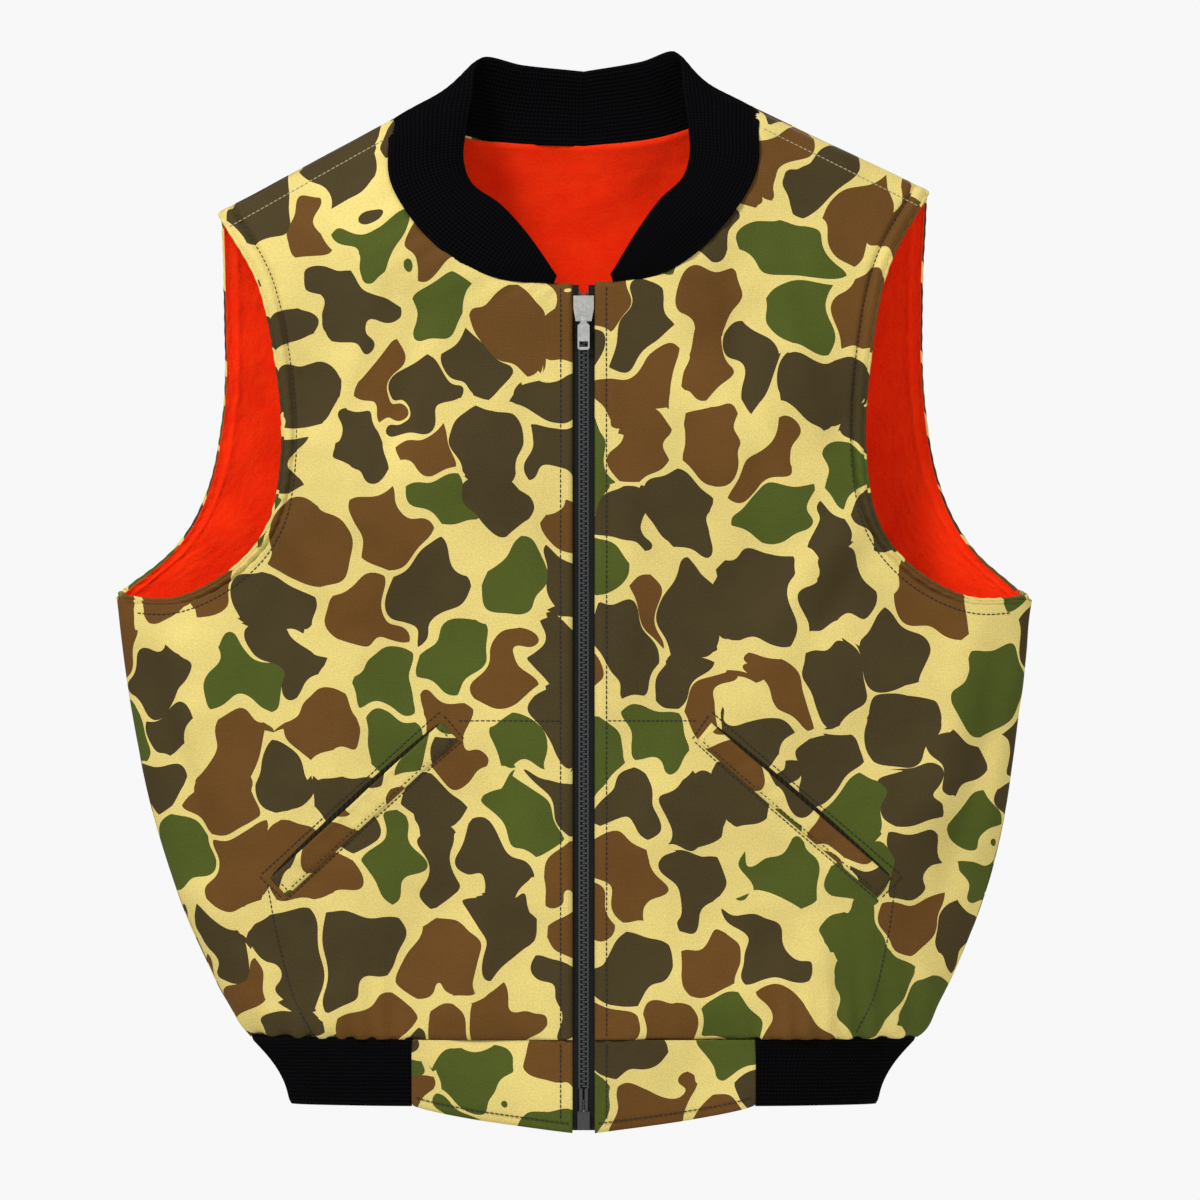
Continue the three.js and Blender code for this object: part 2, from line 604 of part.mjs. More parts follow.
// a cheek steps back above the pin, so that the lifted tab lies clear of it; drawn in Y and Z
function cheek(x0, x1) {
  const shape = new THREE.Shape();
  shape.moveTo(cheekBack, tabPivotZ - 1.2);
  shape.lineTo(cheekBack, crownTopZ);
  shape.lineTo(pivotY + 0.6, crownTopZ);
  shape.lineTo(pivotY + 0.6, tabPivotZ + 2.8);
  shape.lineTo(cheekFront, tabPivotZ + 0.9);
  shape.lineTo(cheekFront, tabPivotZ - 1.2);
  shape.closePath();
  const g = new THREE.ExtrudeGeometry(shape, { depth: x1 - x0, bevelEnabled: false });
  const [x, y, z] = [[1, 0, 0], [0, 1, 0], [0, 0, 1]].map((a) => new THREE.Vector3(...a));
  return solidOf(g.applyMatrix4(new THREE.Matrix4().makeBasis(y, z, x)).translate(x0, 0, 0));
}
const roofThickness = 0.6;
const crownRoof = solidOf(boxBetween(
  [-cheekInner - CROWN_CHEEK, cheekBack - roofThickness, tabPivotZ + 4],
  [cheekInner + CROWN_CHEEK, cheekBack, crownTopZ],
));
const crownPin = solidOf(new THREE.CylinderGeometry(
  TAB_PIVOT_RADIUS, TAB_PIVOT_RADIUS, 2 * cheekInner + CROWN_CHEEK, 16,
).rotateZ(Math.PI / 2).translate(0, pivotY, tabPivotZ));
add('slider_crown', fromSolid(
  cheek(-cheekInner - CROWN_CHEEK, -cheekInner).add(cheek(cheekInner, cheekInner + CROWN_CHEEK))
    .add(crownRoof).add(crownPin),
), nickel);

function pullTab() {
  const eye = 1.7;
  const shoulderZ = tabPivotZ - 3.2;
  const shape = new THREE.Shape();
  shape.moveTo(-TAB_NECK_HALF, tabPivotZ + eye);
  shape.lineTo(TAB_NECK_HALF, tabPivotZ + eye);
  shape.lineTo(TAB_NECK_HALF, shoulderZ);
  shape.lineTo(TAB_HALF_WIDTH, shoulderZ - 1.5);
  shape.lineTo(TAB_HALF_WIDTH, tabBottomZ + 1);
  shape.lineTo(TAB_HALF_WIDTH - 1, tabBottomZ);
  shape.lineTo(-TAB_HALF_WIDTH + 1, tabBottomZ);
  shape.lineTo(-TAB_HALF_WIDTH, tabBottomZ + 1);
  shape.lineTo(-TAB_HALF_WIDTH, shoulderZ - 1.5);
  shape.lineTo(-TAB_NECK_HALF, shoulderZ);
  shape.closePath();
  const [w, h] = TAB_WINDOW;
  const low = tabBottomZ + 1.8;
  const windowCut = boxBetween([-w / 2, pivotY - 3, low], [w / 2, pivotY + 3, low + h]);
  const eyeBarrel = new THREE.CylinderGeometry(eye, eye, 2 * TAB_NECK_HALF, 20)
    .rotateZ(Math.PI / 2).translate(0, pivotY, tabPivotZ);
  const eyeHole = new THREE.CylinderGeometry(TAB_EYE_RADIUS, TAB_EYE_RADIUS, 20, 16)
    .rotateZ(Math.PI / 2).translate(0, pivotY, tabPivotZ);
  return fromSolid(
    solidOf(plate(shape, TAB_THICKNESS, pivotY)).add(solidOf(eyeBarrel))
      .subtract(solidOf(windowCut)).subtract(solidOf(eyeHole)),
  );
}
add('pull_tab', pullTab(), nickel);

export default vest;
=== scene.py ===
"""Reversible hunting vest, camouflage side out, hanging by its shoulders.

Sizes are in millimetres and turned to metres when a mesh is made. "right" and "left" are the wearer's
sides, so the right front lies at -X. The zipped front faces -Y.
"""
import json
import math

import bpy
import numpy as np
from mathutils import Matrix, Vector
from mathutils.bvhtree import BVHTree


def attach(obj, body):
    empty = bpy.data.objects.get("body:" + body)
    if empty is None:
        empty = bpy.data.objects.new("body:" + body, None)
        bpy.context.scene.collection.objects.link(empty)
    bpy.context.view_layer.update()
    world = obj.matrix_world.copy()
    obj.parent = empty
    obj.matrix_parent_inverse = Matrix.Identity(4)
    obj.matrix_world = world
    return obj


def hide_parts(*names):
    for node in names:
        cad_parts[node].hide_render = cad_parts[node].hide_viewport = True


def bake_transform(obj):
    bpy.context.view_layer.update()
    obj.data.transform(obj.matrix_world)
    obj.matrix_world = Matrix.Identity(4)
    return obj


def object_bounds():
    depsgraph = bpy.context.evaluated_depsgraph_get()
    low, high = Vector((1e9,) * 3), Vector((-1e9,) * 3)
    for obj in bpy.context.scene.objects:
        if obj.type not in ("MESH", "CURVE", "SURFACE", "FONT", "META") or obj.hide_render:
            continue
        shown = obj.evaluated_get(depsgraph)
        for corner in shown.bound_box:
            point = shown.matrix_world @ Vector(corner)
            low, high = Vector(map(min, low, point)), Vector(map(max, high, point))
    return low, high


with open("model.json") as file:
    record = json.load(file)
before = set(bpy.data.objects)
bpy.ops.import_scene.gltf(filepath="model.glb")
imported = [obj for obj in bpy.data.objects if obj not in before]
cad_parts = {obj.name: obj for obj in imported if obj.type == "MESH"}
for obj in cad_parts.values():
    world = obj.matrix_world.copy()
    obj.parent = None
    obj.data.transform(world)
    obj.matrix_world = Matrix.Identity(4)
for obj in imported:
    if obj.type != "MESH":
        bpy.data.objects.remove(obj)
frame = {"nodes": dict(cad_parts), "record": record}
cad_low, cad_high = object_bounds()

MM = 0.001

# ---- camera, light and floor ----

VIEW_WIDTH = 774.0  # width of the picture at the vest
CAMERA_DISTANCE = 6000.0
VIEW_X = 10.6
VIEW_Z = -303.0
FLOOR_Z = -850.0


def linear(colour):
    """An sRGB hex colour as linear RGBA."""
    parts = [int(colour[i : i + 2], 16) / 255 for i in (1, 3, 5)]
    return [c / 12.92 if c <= 0.04045 else ((c + 0.055) / 1.055) ** 2.4 for c in parts] + [1.0]


def make_camera():
    data = bpy.data.cameras.new("camera")
    data.sensor_width = 36.0
    data.lens = data.sensor_width * CAMERA_DISTANCE / VIEW_WIDTH
    data.clip_end = 50.0
    camera = bpy.data.objects.new("camera", data)
    front = cad_low.y / MM
    camera.location = Vector((VIEW_X, front - CAMERA_DISTANCE, VIEW_Z)) * MM
    camera.rotation_euler = (math.pi / 2, 0, 0)
    bpy.context.scene.collection.objects.link(camera)
    bpy.context.scene.camera = camera


def make_lamp(name, place, size, power):
    data = bpy.data.lights.new(name, "AREA")
    data.shape = "DISK"
    data.size = size
    data.energy = power
    lamp = bpy.data.objects.new(name, data)
    lamp.location = place
    aim = Vector((0, 0, VIEW_Z * MM)) - Vector(place)
    lamp.rotation_euler = aim.to_track_quat("-Z", "Y").to_euler()
    bpy.context.scene.collection.objects.link(lamp)


def make_studio():
    """The backdrop looks near white; the light that the vest gets from it is softer."""
    world = bpy.data.worlds.new("studio")
    world.use_nodes = True
    tree = world.node_tree
    tree.nodes["Background"].inputs["Color"].default_value = linear("#fbfbfc")
    ray = tree.nodes.new("ShaderNodeLightPath").outputs["Is Camera Ray"]
    strength = tree.nodes.new("ShaderNodeMix")
    strength.inputs["A"].default_value = 0.6
    strength.inputs["B"].default_value = 0.97
    tree.links.new(ray, strength.inputs["Factor"])
    tree.links.new(strength.outputs["Result"], tree.nodes["Background"].inputs["Strength"])
    bpy.context.scene.world = world
    bpy.context.scene.view_settings.view_transform = "Standard"
    make_lamp("key", (-1.3, -1.7, 1.5), 0.8, 47)
    make_lamp("fill", (1.5, -1.9, 0.1), 1.4, 9)
    make_lamp("back", (0.8, 1.8, 1.0), 1.4, 14)
    bpy.ops.object.select_all(action="DESELECT")
    bpy.ops.mesh.primitive_plane_add(size=1.3, location=(0, 0, FLOOR_Z * MM))
    floor = bpy.context.object
    floor.name = "floor"
    floor.data.materials.append(plain("pale_floor", "#f2f2f0", 0.8))


# ---- materials ----


class Nodes:
    """A material's node tree. add() makes one node with its settings and its input values or links."""

    def __init__(self, name):
        self.material = bpy.data.materials.new(name)
        self.material.use_nodes = True
        self.tree = self.material.node_tree
        self.shader = self.tree.nodes["Principled BSDF"]

    def put(self, socket, value):
        if isinstance(value, bpy.types.NodeSocket):
            self.tree.links.new(value, socket)
        else:
            socket.default_value = value

    def add(self, kind, inputs=None, output=0, **settings):
        node = self.tree.nodes.new("ShaderNode" + kind)
        for key, value in settings.items():
            setattr(node, key, value)
        for key, value in (inputs or {}).items():
            self.put(node.inputs[key], value)
        return node.outputs[output]

    def surface(self, **values):
        for key, value in values.items():
            self.put(self.shader.inputs[key.replace("_", " ")], value)
        return self.material


def plain(name, colour, roughness, metallic=0.0):
    return Nodes(name).surface(Base_Color=linear(colour), Roughness=roughness, Metallic=metallic)


TAN = linear("#dcc877")
DARK = linear("#44391f")
BROWN = linear("#65441c")
GREEN = linear("#4b551d")


def warped(n, place, size, amount, seed):
    """place pushed about by smooth noise: size in mm between swells, amount in mm of push."""
    noise = n.add(
        "TexNoise", {"Vector": place, "W": seed, "Scale": 1000 / size, "Detail": 0.0},
        output="Color", noise_dimensions="4D",
    )
    centred = n.add("VectorMath", {0: noise, 1: (0.5, 0.5, 0.5)}, operation="SUBTRACT")
    push = n.add("VectorMath", {0: centred, "Scale": amount * MM}, operation="SCALE")
    return n.add("VectorMath", {0: place, 1: push}, operation="ADD")


BLOB_SPACING = 45.0
BLOB_ROUNDNESS = 0.6
BLOB_INSET = -0.14  # in blob spacings: larger leaves wider tan channels
DARK_SHARE = 0.41
GREEN_FROM = 0.76
MERGE_WITHIN = 0.1
MERGE_REACH = 0.56  # in blob spacings from a cell's middle: merged blobs stay round at their corners


def camouflage(n, place):
    """Duck-hunter camouflage: each cell of a warped pattern is one ink, with tan channels between the
    cells. Neighbours of one ink whose random numbers are close run together into a lobed blob."""
    lobed = warped(n, warped(n, place, 111, 35, 1.7), 28, 42, 6.1)
    distance, number = {}, {}
    for feature in ("F1", "F2"):
        node_inputs = {"Vector": lobed, "Scale": 1000 / BLOB_SPACING, "Randomness": 0.82}
        cell = n.tree.nodes.new("ShaderNodeTexVoronoi")
        cell.feature, cell.voronoi_dimensions = feature, "2D"
        for key, value in node_inputs.items():
            n.put(cell.inputs[key], value)
        distance[feature] = cell.outputs["Distance"]
        number[feature] = n.add("SeparateColor", {0: cell.outputs["Color"]})

    def steps(value):
        dark = n.add("Math", {0: value, 1: DARK_SHARE}, operation="LESS_THAN")
        green = n.add("Math", {0: value, 1: GREEN_FROM}, operation="GREATER_THAN")
        return dark, green

    (dark, green), (dark_next, green_next) = steps(number["F1"]), steps(number["F2"])
    nearest = n.add("Math", {0: distance["F1"], 1: 1 + BLOB_ROUNDNESS}, operation="MULTIPLY")
    room = n.add("Math", {0: distance["F2"], 1: nearest}, operation="SUBTRACT")
    inside = n.add("Math", {0: room, 1: BLOB_INSET}, operation="GREATER_THAN")
    alike = n.add("Math", {0: number["F1"], 1: number["F2"], 2: MERGE_WITHIN}, operation="COMPARE")
    for mine, other in ((dark, dark_next), (green, green_next)):
        same = n.add("Math", {0: mine, 1: other, 2: 0.5}, operation="COMPARE")
        alike = n.add("Math", {0: alike, 1: same}, operation="MULTIPLY")
    within = n.add("Math", {0: distance["F1"], 1: MERGE_REACH}, operation="LESS_THAN")
    alike = n.add("Math", {0: alike, 1: within}, operation="MULTIPLY")
    inside = n.add("Math", {0: inside, 1: alike}, operation="MAXIMUM")
    ink = n.add("Mix", {"Factor": green, 6: BROWN, 7: GREEN}, output=2, data_type="RGBA")
    ink = n.add("Mix", {"Factor": dark, 6: ink, 7: DARK}, output=2, data_type="RGBA")
    return n.add("Mix", {"Factor": inside, 6: TAN, 7: ink}, output=2, data_type="RGBA")


def weave(n, place, pitch, depth, distance=1.0):
    """Height of a plain weave: threads across and along, pitch mm apart."""
    waves = [
        n.add(
            "TexWave", {"Vector": place, "Scale": 1000 / pitch / 20 * math.pi, "Distortion": 0.6, "Detail": 1.0},
            output="Fac", bands_direction=axis, wave_profile="SIN",
        )
        for axis in ("X", "Y")
    ]
    height = n.add("Math", {0: waves[0], 1: waves[1]}, operation="MULTIPLY")
    return n.add("Bump", {"Height": height, "Strength": depth, "Distance": distance * MM})


def poplin():
    """Cotton-blend poplin, printed and washed: matt, with faint thread ribs and slightly uneven ink."""
    n = Nodes("printed_poplin")
    place = n.add("UVMap", uv_map="cloth")
    ink = camouflage(n, place)
    fade = n.add(
        "TexNoise", {"Vector": place, "Scale": 14.0, "Detail": 5.0, "Roughness": 0.6}, output="Fac",
    )
    fleck = n.add(
        "TexNoise", {"Vector": place, "Scale": 900.0, "Detail": 2.0, "Roughness": 0.6}, output="Fac",
    )
    shade = n.add("MapRange", {0: fade, 1: 0.3, 2: 0.7, 3: 0.90, 4: 1.12})
    spots = n.add("MapRange", {0: fleck, 1: 0.3, 2: 0.7, 3: 0.88, 4: 1.12})
    both = n.add("Math", {0: shade, 1: spots}, operation="MULTIPLY")
    worn = n.add("VectorMath", {0: ink, "Scale": both}, operation="SCALE")
    # threads are drawn 0.9 mm apart, about three times too coarse, so that they show
    return n.surface(
        Base_Color=worn, Roughness=0.78, Normal=weave(n, place, 0.9, 0.35, 0.25),
        Specular_IOR_Level=0.12,
    )


def pocketing():
    """Cotton pocketing twill, dark olive: fine diagonal ribs and nothing of a shine. The hollows between the ribs are
    painted darker, painted shade.
    """
    n = Nodes("pocketing_twill_painted_shade")
    place = n.add("UVMap", uv_map="cloth")
    ribs = n.add(
        "TexWave", {"Vector": place, "Scale": 1000 / 1.1 / 20 * math.pi, "Distortion": 0.4, "Detail": 1.0},
        output="Fac", bands_direction="DIAGONAL",
    )
    # the colour follows the ribs' height: their hollows are painted darker, painted shade
    colour = n.add(
        "Mix", {"Factor": ribs, 6: linear("#1b170e"), 7: linear("#2c2617")}, output=2, data_type="RGBA",
    )
    bump = n.add("Bump", {"Height": ribs, "Strength": 0.4, "Distance": 0.2 * MM})
    return n.surface(Base_Color=colour, Roughness=0.9, Normal=bump, Specular_IOR_Level=0.1)


def fleece():
    """Polyester fleece, brushed: a short dense pile that scatters light, blaze orange. Its colour is darker where the
    pile is low, painted shade in the hollows.
    """
    n = Nodes("brushed_fleece_painted_shade")
    place = n.add("UVMap", uv_map="cloth")
    pile = n.add(
        "TexNoise", {"Vector": place, "Scale": 520.0, "Detail": 4.0, "Roughness": 0.7}, output="Fac",
    )
    clump = n.add(
        "TexNoise", {"Vector": place, "Scale": 60.0, "Detail": 3.0, "Roughness": 0.6}, output="Fac",
    )
    both = n.add("Math", {0: pile, 1: clump}, operation="ADD")
    # the colour follows the pile's height: its hollows are painted darker, painted shade
    painted_shade_tone = n.add("MapRange", {0: both, 1: 0.7, 2: 1.3, 3: 0.0, 4: 1.0})
    colour = n.add(
        "Mix", {"Factor": painted_shade_tone, 6: linear("#fb2402"), 7: linear("#ff3606")}, output=2, data_type="RGBA",
    )
    bump = n.add("Bump", {"Height": both, "Strength": 0.6, "Distance": 0.9 * MM})
    return n.surface(
        Base_Color=colour, Roughness=0.95, Normal=bump,
        Sheen_Weight=0.5, Sheen_Roughness=0.6, Sheen_Tint=linear("#ff6a3a"), Specular_IOR_Level=0.1,
    )


def knit():
    """Black acrylic rib knit: rows of small stitches along each rib, soft and dull. Its colour is darker where the
    stitches are low, painted shade.
    """
    n = Nodes("rib_knit_painted_shade")
    place = n.add("UVMap", uv_map="cloth")
    loops = n.add(
        "TexWave", {"Vector": place, "Scale": 1000 / 1.3 / 20 * math.pi, "Distortion": 1.5, "Detail": 1.0},
        output="Fac", bands_direction="Y",
    )
    fuzz = n.add(
        "TexNoise", {"Vector": place, "Scale": 700.0, "Detail": 3.0}, output="Fac",
    )
    height = n.add("Math", {0: loops, 1: fuzz}, operation="ADD")
    # the colour follows the stitches' height: the hollows between them are painted darker, painted shade
    painted_shade_tone = n.add("MapRange", {0: height, 1: 0.6, 2: 1.5, 3: 0.0, 4: 1.0})
    colour = n.add(
        "Mix", {"Factor": painted_shade_tone, 6: linear("#010102"), 7: linear("#08080b")}, output=2, data_type="RGBA",
    )
    bump = n.add("Bump", {"Height": height, "Strength": 0.6, "Distance": 0.5 * MM})
    return n.surface(
        Base_Color=colour, Roughness=0.9, Normal=bump,
        Specular_IOR_Level=0.06,
    )


def tape_cloth():
    """Woven polyester zip tape: fine cross ribs, black. The hollows between the ribs are painted darker, painted
    shade.
    """
    n = Nodes("zip_tape_weave_painted_shade")
    place = n.add("TexCoord", output="Object")
    ribs = n.add(
        "TexWave", {"Vector": place, "Scale": 1000 / 0.8 / 20 * math.pi, "Distortion": 0.3},
        output="Fac", bands_direction="Z",
    )
    # the colour follows the ribs' height: their hollows are painted darker, painted shade
    colour = n.add(
        "Mix", {"Factor": ribs, 6: linear("#0b0c0b"), 7: linear("#1a1b19")}, output=2, data_type="RGBA",
    )
    bump = n.add("Bump", {"Height": ribs, "Strength": 0.5, "Distance": 0.2 * MM})
    return n.surface(Base_Color=colour, Roughness=0.85, Normal=bump, Specular_IOR_Level=0.2)


def acetal():
    """Moulded acetal: a dull black plastic with a soft highlight and faint flow marks, given a dark grey base colour
    that is a painted highlight for the teeth's glints.
    """
    n = Nodes("moulded_acetal_painted_glint")
    place = n.add("TexCoord", output="Object")
    marks = n.add(
        "TexNoise", {"Vector": place, "Scale": 800.0, "Detail": 2.0}, output="Fac",
    )
    rough = n.add("MapRange", {0: marks, 1: 0.3, 2: 0.7, 3: 0.2, 4: 0.36})
    bump = n.add("Bump", {"Height": marks, "Strength": 0.15, "Distance": 0.1 * MM})
    # the dark grey base colour on black plastic is a painted highlight for the glints on the teeth
    return n.surface(Base_Color=linear("#3a3b3d"), Roughness=rough, Normal=bump)


def nickel():
    """Nickel-plated zinc casting: bright, with worn patches and fine scratches."""
    n = Nodes("nickel_plate")
    place = n.add("TexCoord", output="Object")
    wear = n.add(
        "TexNoise", {"Vector": place, "Scale": 420.0, "Detail": 6.0, "Roughness": 0.65}, output="Fac",
    )
    colour = n.add(
        "Mix", {"Factor": wear, 6: linear("#bdbdb8"), 7: linear("#f4f4f0")}, output=2, data_type="RGBA",
    )
    rough = n.add("MapRange", {0: wear, 1: 0.3, 2: 0.7, 3: 0.2, 4: 0.36})
    bump = n.add("Bump", {"Height": wear, "Strength": 0.2, "Distance": 0.08 * MM})
    return n.surface(Base_Color=colour, Metallic=1.0, Roughness=rough, Normal=bump)


def thread():
    """Polyester sewing thread, near black, with a slight shine along its twist painted into its colour as lighter
    flecks.
    """
    n = Nodes("sewing_thread_painted_sheen")
    place = n.add("TexCoord", output="Object")
    painted_twist_sheen = n.add("TexNoise", {"Vector": place, "Scale": 2500.0, "Detail": 1.0}, output="Fac")
    # the lighter flecks of the thread's colour are a painted sheen along its twist
    colour = n.add(
        "Mix", {"Factor": painted_twist_sheen, 6: linear("#0b0a07"), 7: linear("#1c1a13")}, output=2, data_type="RGBA",
    )
    return n.surface(Base_Color=colour, Roughness=0.6)


def pale_thread():
    """The shoulder seams are sewn in a pale tan thread, with a sheen along its twist painted into its colour as
    lighter flecks.
    """
    n = Nodes("tan_thread_painted_sheen")
    place = n.add("TexCoord", output="Object")
    painted_twist_sheen = n.add("TexNoise", {"Vector": place, "Scale": 2500.0, "Detail": 1.0}, output="Fac")
    # the lighter flecks of the thread's colour are a painted sheen along its twist
    colour = n.add(
        "Mix", {"Factor": painted_twist_sheen, 6: linear("#8d8463"), 7: linear("#b5ab84")}, output=2, data_type="RGBA",
    )
    return n.surface(Base_Color=colour, Roughness=0.6)


# ---- outline of one half of the body, in X and Z ----

CHEST = 297.0
SHOULDER_TIP = (230.0, -43.5)
NECK_POINT = (116.0, 14.0)
UNDERARM_Z = -302.0
WAIST_Z = -587.0
WAIST = 217.0
HEM = 192.0
RIB_DEPTH = 43.0
FRONT_DEPTH = 45.0
BACK_DEPTH = 43.0
SHOULDER_ROLL = 110.0
FRONT_NECK_Z = -98.0
ZIP_SLOT = 7.2
NECK_ROWS = 1 / 3  # share of a front's rows of cloth that start at the neck
UNDERARM_ROW_START = 0.78  # share of the front's inner edge where the row to the underarm starts

ARMHOLE_FRONT = [
    SHOULDER_TIP, (203, -92), (190, -156), (188, -212),
    (197, -256), (221, -285), (258, -303), (CHEST, UNDERARM_Z),
]
ARMHOLE_BACK = [SHOULDER_TIP, (228, -110), (229, -178), (241, -236), (262, -272), (CHEST, UNDERARM_Z)]
NECK_FRONT = [(19, FRONT_NECK_Z), (51, -93), (80, -77), (104, -51), (117, -26), (118, -4), NECK_POINT]
NECK_BACK = [NECK_POINT, (88, 8), (50, -1), (0, -5)]


def half_width(z):
    """Half width of the flat body at a height."""
    z = np.asarray(z, float)
    rise = np.clip((z - UNDERARM_Z) / (SHOULDER_TIP[1] - UNDERARM_Z), 0, 1)
    drop = np.clip((UNDERARM_Z - z) / (UNDERARM_Z - WAIST_Z), 0, 1)
    body = CHEST + (WAIST - CHEST) * (0.38 * drop + 0.62 * drop**3.2)
    rib = np.clip((WAIST_Z - z) / RIB_DEPTH, 0, 1)
    waist = HEM + (WAIST - HEM) * (1 - rib) ** 2
    return np.where(z > UNDERARM_Z, CHEST - 22 * rise, np.where(z > WAIST_Z, body, waist))


def shoulder_height(x):
    slope = (SHOULDER_TIP[1] - NECK_POINT[1]) / (SHOULDER_TIP[0] - NECK_POINT[0])
    return NECK_POINT[1] + slope * np.maximum(np.abs(x) - NECK_POINT[0], 0)


def fullness(x, z):
    """How far the cloth stands from the middle plane, as a share of the full depth."""
    across = np.minimum(np.abs(x) / half_width(z), 1)
    drop = np.clip((shoulder_height(x) - z) / SHOULDER_ROLL, 0, 1)
    return np.sqrt(1 - across**2.2) * np.sqrt(1 - (1 - drop) ** 2)


def smooth(points, samples=400):
    """Points evenly along a centripetal curve through the given points."""
    p = np.array([tuple(q) for q in points], float)
    p = np.vstack([2 * p[0] - p[1], p, 2 * p[-1] - p[-2]])
    pieces = []
    for i in range(1, len(p) - 2):
        t = [0.0]
        for a, b in ((i - 1, i), (i, i + 1), (i + 1, i + 2)):
            t.append(t[-1] + max(np.linalg.norm(p[b] - p[a]) ** 0.5, 1e-6))
        s = np.linspace(t[1], t[2], samples // (len(p) - 3) + 1)[:-1, None]
        a1 = (t[1] - s) / (t[1] - t[0]) * p[i - 1] + (s - t[0]) / (t[1] - t[0]) * p[i]
        a2 = (t[2] - s) / (t[2] - t[1]) * p[i] + (s - t[1]) / (t[2] - t[1]) * p[i + 1]
        a3 = (t[3] - s) / (t[3] - t[2]) * p[i + 1] + (s - t[2]) / (t[3] - t[2]) * p[i + 2]
        b1 = (t[2] - s) / (t[2] - t[0]) * a1 + (s - t[0]) / (t[2] - t[0]) * a2
        b2 = (t[3] - s) / (t[3] - t[1]) * a2 + (s - t[1]) / (t[3] - t[1]) * a3
        pieces.append((t[2] - s) / (t[2] - t[1]) * b1 + (s - t[1]) / (t[2] - t[1]) * b2)
    return np.vstack(pieces + [p[-2][None]])


def length_along(line):
    steps = np.linalg.norm(np.diff(line, axis=0), axis=1)
    return np.concatenate([[0], np.cumsum(steps)])


def at_shares(line, shares):
    """Points of a line at shares of its length."""
    s = length_along(line)
    want = np.clip(shares, 0, 1) * s[-1]
    return np.stack([np.interp(want, s, line[:, k]) for k in range(line.shape[1])], axis=-1)


def join(*lines):
    return np.vstack([np.asarray(line, float) for line in lines])


SIDE = join([(half_width(z), z) for z in np.linspace(UNDERARM_Z, WAIST_Z, 60)])
SHOULDER = join([NECK_POINT, SHOULDER_TIP])


def coons(top, bottom, inner, outer, us, vs):
    """Fills the space between four lines with a grid of points. inner and outer have a point for each row."""
    u, v = us[None, :, None], vs[:, None, None]
    t, b = at_shares(top, us)[None], at_shares(bottom, us)[None]
    i, o = inner[:, None], outer[:, None]
    corners = (1 - v) * ((1 - u) * top[0] + u * top[-1]) + v * ((1 - u) * bottom[0] + u * bottom[-1])
    return (1 - u) * i + u * o + (1 - v) * t + v * b - corners


def towards_side(t):
    return 1 - (1 - t) ** 1.5


# ---- folds, gathers and puckers: how far the cloth stands out, in mm ----


def ripple(x, z, seed):
    """Soft unevenness of hung cloth, from swells of a few wavelengths in different directions."""
    rng = np.random.default_rng(seed)
    total = np.zeros(np.broadcast(x, z).shape)
    for wavelength, size in ((210, 1.6), (130, 1.0), (80, 0.75), (48, 0.45), (30, 0.22)):
        for _ in range(4):
            angle, phase, bend = rng.uniform(0, math.pi), rng.uniform(0, 6.28), rng.uniform(-0.6, 0.6)
            along = x * math.cos(angle) + z * math.sin(angle) + 18 * np.sin((x * bend + z) / 70 + phase)
            total += size * 0.5 * np.sin(2 * math.pi * along / wavelength + phase)
    return total


def fold(x, z, start, end, width, height):
    """A long soft fold along a line, fading at both ends."""
    a, b = np.array(start, float), np.array(end, float)
    d = b - a
    share = ((x - a[0]) * d[0] + (z - a[1]) * d[1]) / (d @ d)
    off = ((x - a[0]) * d[1] - (z - a[1]) * d[0]) / np.linalg.norm(d)
    fade = np.clip(1 - np.abs(2 * share - 1) ** 3, 0, 1)
    return height * fade * np.exp(-((off / width) ** 2))


FRONT_FOLDS = [
    ((120, -60), (170, -210), 11, 2.6),
    ((95, -75), (135, -250), 9, -2.0),
    ((196, -245), (110, -330), 12, 2.8),
    ((200, -262), (130, -360), 9, -2.2),
    ((255, -318), (215, -470), 15, 3.0),
    ((272, -330), (238, -500), 10, -2.4),
    ((30, -190), (26, -360), 8, 1.8),
    ((60, -470), (90, -580), 13, 2.4),
    ((150, -505), (165, -585), 11, 2.6),
    ((120, -500), (128, -585), 8, -2.0),
]
BACK_FOLDS = [
    ((40, -20), (110, -200), 16, 3.0),
    ((215, -150), (120, -330), 15, 3.2),
    ((235, -235), (150, -420), 12, -2.6),
    ((30, -380), (60, -585), 18, 3.2),
    ((140, -430), (160, -585), 14, 3.0),
    ((255, -330), (215, -520), 14, 2.8),
    ((5, -120), (-10, -420), 16, -2.2),
]


